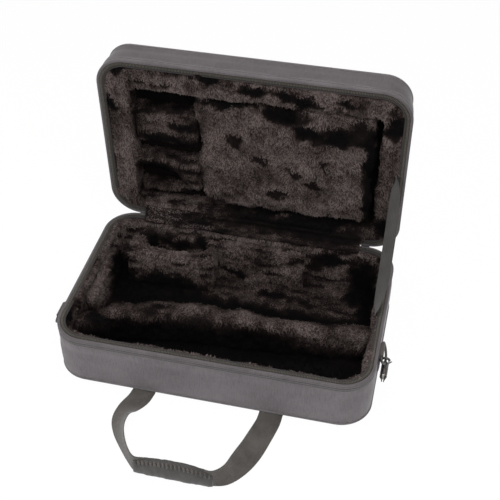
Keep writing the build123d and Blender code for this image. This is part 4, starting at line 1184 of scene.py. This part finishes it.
def stay():
    """Ribbed webbing whose middle turns towards the front and bows outwards."""
    run = STAY_FOOT - STAY_TOP
    way = run / np.linalg.norm(run)
    across_way = np.cross([1.0, 0, 0], way)
    shares = np.linspace(-0.02, 1.02, 230)
    bow = limit(4 * shares * (1 - shares))
    centres = STAY_TOP + np.outer(shares, run) + np.outer(bow, [STAY_BOW, 0, 0])
    twist = STAY_TWIST * np.sqrt(bow)
    across = -np.outer(np.cos(twist), across_way) + np.outer(np.sin(twist), [1.0, 0, 0])
    strap = ribbon("stay_webbing", centres, across, STAY_WIDTH, 1.5 * MM, 8)
    for vertex in strap.data.vertices:
        vertex.co.x = min(vertex.co.x, WIDTH / 2 - 0.8 * MM)
    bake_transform(strap)
    clothe(strap, STAY_CLOTH, "webbing", "stay_strap")


stay()

# Cloth hinge outside and plush gusset inside
HINGE_REACH = 19 * MM
HINGE_END = 160 * MM
HINGE_OUT = 1.0 * MM


def hinge_cloth():
    """Strip of nylon sewn to both walls, slightly bowed where it bends."""
    steps = [k / 10 for k in range(11)]
    back = HALF_DEPTH + HINGE_OUT
    lower = [(back, RIM - HINGE_REACH * (1 - t)) for t in steps]
    lower[0] = (HALF_DEPTH + 0.8 * MM, RIM - HINGE_REACH)
    upper = [lid_point(0, -HINGE_OUT, HINGE_REACH * t)[1:] for t in steps]
    bend = [(back, RIM - 1.4 * MM), (back, RIM - 1.0 * MM), lid_point(0, -HINGE_OUT, 1.4 * MM)[1:]]
    inside = [lid_point(0, 0.1 * MM, HINGE_REACH)[1:], (HALF_DEPTH + 0.2 * MM, RIM + 0.2 * MM)]
    section = lower[:-1] + bend + upper[1:] + inside + [(HALF_DEPTH, RIM - HINGE_REACH)]
    stops = np.linspace(-HINGE_END, HINGE_END, 90)
    grid = np.array([[(x, y, z) for y, z in section] for x in stops])
    flat = grid.reshape(-1, 3)
    flat[:, 1] += waves(flat * np.array([1, 0.3, 0.3]), 20 * MM, 401) * 0.04 * MM
    cloth = make_object("hinge_nylon", flat, tube_faces(*grid.shape[:2]))
    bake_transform(cloth)
    clothe(cloth, BASE_NYLON, "nylon", "hinge_cloth")


hinge_cloth()


def hinge_shade(points):
    """Painted shade on the fold: lighter at its left, darker along the rest."""
    return 0.7 + 0.5 * limit((-40 * MM - points[:, 0]) / (40 * MM))


def gusset():
    """Folded plush that joins the two linings along the hinge."""
    obj = soft_copy("hinge_plush", "hinge_lining", 1.6 * MM, 4)
    skin = lift_skin(obj, lambda p: waves(p * np.array([0.35, 1, 1]), 14 * MM, 411) * 0.7 * MM)
    lay = (1.0, -0.6, 0.2)
    # Painted shade: the gusset's skin at 0.4 of the pile's light.
    grow_pile(obj, "hinge_lining", skin, nap_and_painted_shade(skin[0]) * 0.4, 5 * MM, lay, 421, hinge_shade, 1.0, 0.7)
    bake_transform(obj)
    clothe(obj, PLUSH, "plush", "hinge_lining")


gusset()

# Webbing tabs that hold the rings, and the folded end in the swivel eye
TAB_WIDTH = 25 * MM
TAB_FOOT = 42 * MM


def folded(name, line, width, thickness, body, solid):
    """Narrow webbing folded along a line, with its width along the case's end."""
    centres = smooth_line(line, 0.8 * MM)
    across = np.tile([0, 1.0, 0], (len(centres), 1))
    dress(ribbon(name, centres, across, width, thickness, 7), WEBBING, body, "webbing", solid)


def ring_tab(side, word):
    """Two plies of webbing sewn to the wall, folded over the ring's bar."""
    ring_low, ring_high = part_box(f"{word}_d_ring")
    middle = (ring_low[1] + ring_high[1]) / 2
    bar_x = WIDTH / 2 + 4.6 * MM
    bar_z = 71 * MM
    wrap = 2.7 * MM
    inner, outer = WIDTH / 2 + 1.75 * MM, WIDTH / 2 + 3.1 * MM
    section = [(inner - 0.6 * MM, TAB_FOOT), (inner - 0.6 * MM, 56 * MM), (inner + 0.1 * MM, 66 * MM)]
    for angle in np.linspace(math.radians(190), math.radians(-20), 12):
        section.append((bar_x + wrap * math.cos(angle), bar_z + wrap * math.sin(angle)))
    section += [(outer + 1.0 * MM, 64 * MM), (outer, 58 * MM), (outer, TAB_FOOT + 0.5 * MM)]
    line = [(side * x, middle, z) for x, z in section]
    folded(f"{word}_tab_webbing", line, TAB_WIDTH, 1.3 * MM, "base", f"{word}_ring_tab")
    half = TAB_WIDTH / 2 - 3 * MM
    low, high = 45 * MM, 55 * MM
    corners = [(-half, low), (half, low), (half, high), (-half, high), (-half, low)]
    points = np.array([(side * (outer + 0.8 * MM), middle + y, z) for y, z in along_corners(corners, 20)])
    facing = np.tile([side, 0.0, 0.0], (len(points), 1))
    row = stitch_row(f"{word}_tab_stitches", points, facing, *TAB_STITCH)
    dress(row, THREAD, "base", "webbing")


ring_tab(-1, "left")
ring_tab(1, "right")


def webbing_end():
    """Short length of webbing folded through the swivel eye and sewn to itself."""
    low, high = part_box("strap_end")
    x = (low[0] + high[0]) / 2
    y = (low[1] + high[1]) / 2
    bar_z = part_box("swivel_eye")[0][2] + 1.3 * MM
    wrap = (high[0] - low[0]) / 2 - 0.75 * MM
    foot = low[2] + 1.2 * MM
    section = [(x - 1.3 * MM, foot), (x - 2.0 * MM, foot + 4 * MM), (x - wrap, bar_z - 1.5 * MM)]
    for angle in np.linspace(math.radians(180), 0, 11):
        section.append((x + wrap * math.cos(angle), bar_z + wrap * math.sin(angle)))
    section += [(x + 2.0 * MM, foot + 4 * MM), (x + 1.3 * MM, foot)]
    line = [(px, y, pz) for px, pz in section]
    folded("folded_webbing_end", line, TAB_WIDTH - 0.4 * MM, 1.5 * MM, "webbing_end", "strap_end")


webbing_end()

# Camera at the photograph's place
camera_data = bpy.data.cameras.new("camera")
camera_data.lens = LENS
camera_data.sensor_width = SENSOR
camera = add_object("camera", camera_data)
camera.location = CAMERA_PLACE
aim = Vector(CAMERA_TARGET) - Vector(CAMERA_PLACE)
roll = Matrix.Rotation(CAMERA_ROLL, 3, "Z").to_quaternion()
camera.rotation_mode = "QUATERNION"
camera.rotation_quaternion = aim.to_track_quat("-Z", "Y") @ roll
bpy.context.scene.camera = camera

# Pale floor that shows white to the camera and keeps a soft shadow
floor_mesh = bpy.data.meshes.new("floor")
REACH = 6.0
floor_corners = [(x * REACH, y * REACH, 0) for x, y in ((-1, -1), (1, -1), (1, 1), (-1, 1))]
floor_mesh.from_pydata(floor_corners, [], [(0, 1, 2, 3)])
floor = add_object("floor", floor_mesh)
floor_material, floor_tree, floor_shader = new_material("pale_floor")
set_inputs(floor_shader, Base_Color=(0.93, 0.93, 0.93, 1), Roughness=0.9)
glow = node(floor_tree, "ShaderNodeEmission", Strength=1.0)
GLOW_SHARE = 0.965


def background_rays(tree):
    """One for a ray from the camera, or one that shows the background in gloss or glass."""
    rays = tree.nodes.new("ShaderNodeLightPath")
    gloss = math_node(tree, "MAXIMUM", rays.outputs["Is Glossy Ray"], rays.outputs["Is Transmission Ray"])
    return math_node(tree, "MAXIMUM", rays.outputs["Is Camera Ray"], gloss)


def mix_to_output(tree, share, shaders, output):
    """Mix two shaders by a share, and send the result to the tree's output."""
    mix = tree.nodes.new("ShaderNodeMixShader")
    tree.links.new(share, mix.inputs[0])
    for number, shader in enumerate(shaders):
        tree.links.new(shader.outputs[0], mix.inputs[number + 1])
    tree.links.new(mix.outputs[0], tree.nodes[output].inputs["Surface"])


glow_share = math_node(floor_tree, "MULTIPLY", background_rays(floor_tree), GLOW_SHARE)
mix_to_output(floor_tree, glow_share, (floor_shader, glow), "Material Output")
floor_mesh.materials.append(floor_material)

# White surroundings for the camera, an even dim light for everything else
world = bpy.data.worlds.new("studio")
world.use_nodes = True
bpy.context.scene.world = world
tree = world.node_tree
background = tree.nodes["Background"]
set_inputs(background, Strength=0.30)
white = node(tree, "ShaderNodeBackground", Strength=1.0, Color=(1, 1, 1, 1))
mix_to_output(tree, background_rays(tree), (background, white), "World Output")


def add_lamp(name, place, target, size, power):
    """Soft square lamp aimed at a point."""
    data = bpy.data.lights.new(name, "AREA")
    data.size = size
    data.energy = power
    lamp = add_object(name, data)
    lamp.location = place
    lamp.rotation_mode = "QUATERNION"
    lamp.rotation_quaternion = (Vector(target) - Vector(place)).to_track_quat("-Z", "Y")


add_lamp("key_lamp", (0.7, -1.5, 1.9), (0, 0, 0.12), 1.0, 46)
add_lamp("left_lamp", (-1.6, -0.9, 1.1), (0, 0, 0.12), 1.3, 17)
add_lamp("top_lamp", (0.1, 0.35, 2.1), (0, 0, 0.1), 1.2, 24)

bpy.context.scene.view_settings.view_transform = "Standard"
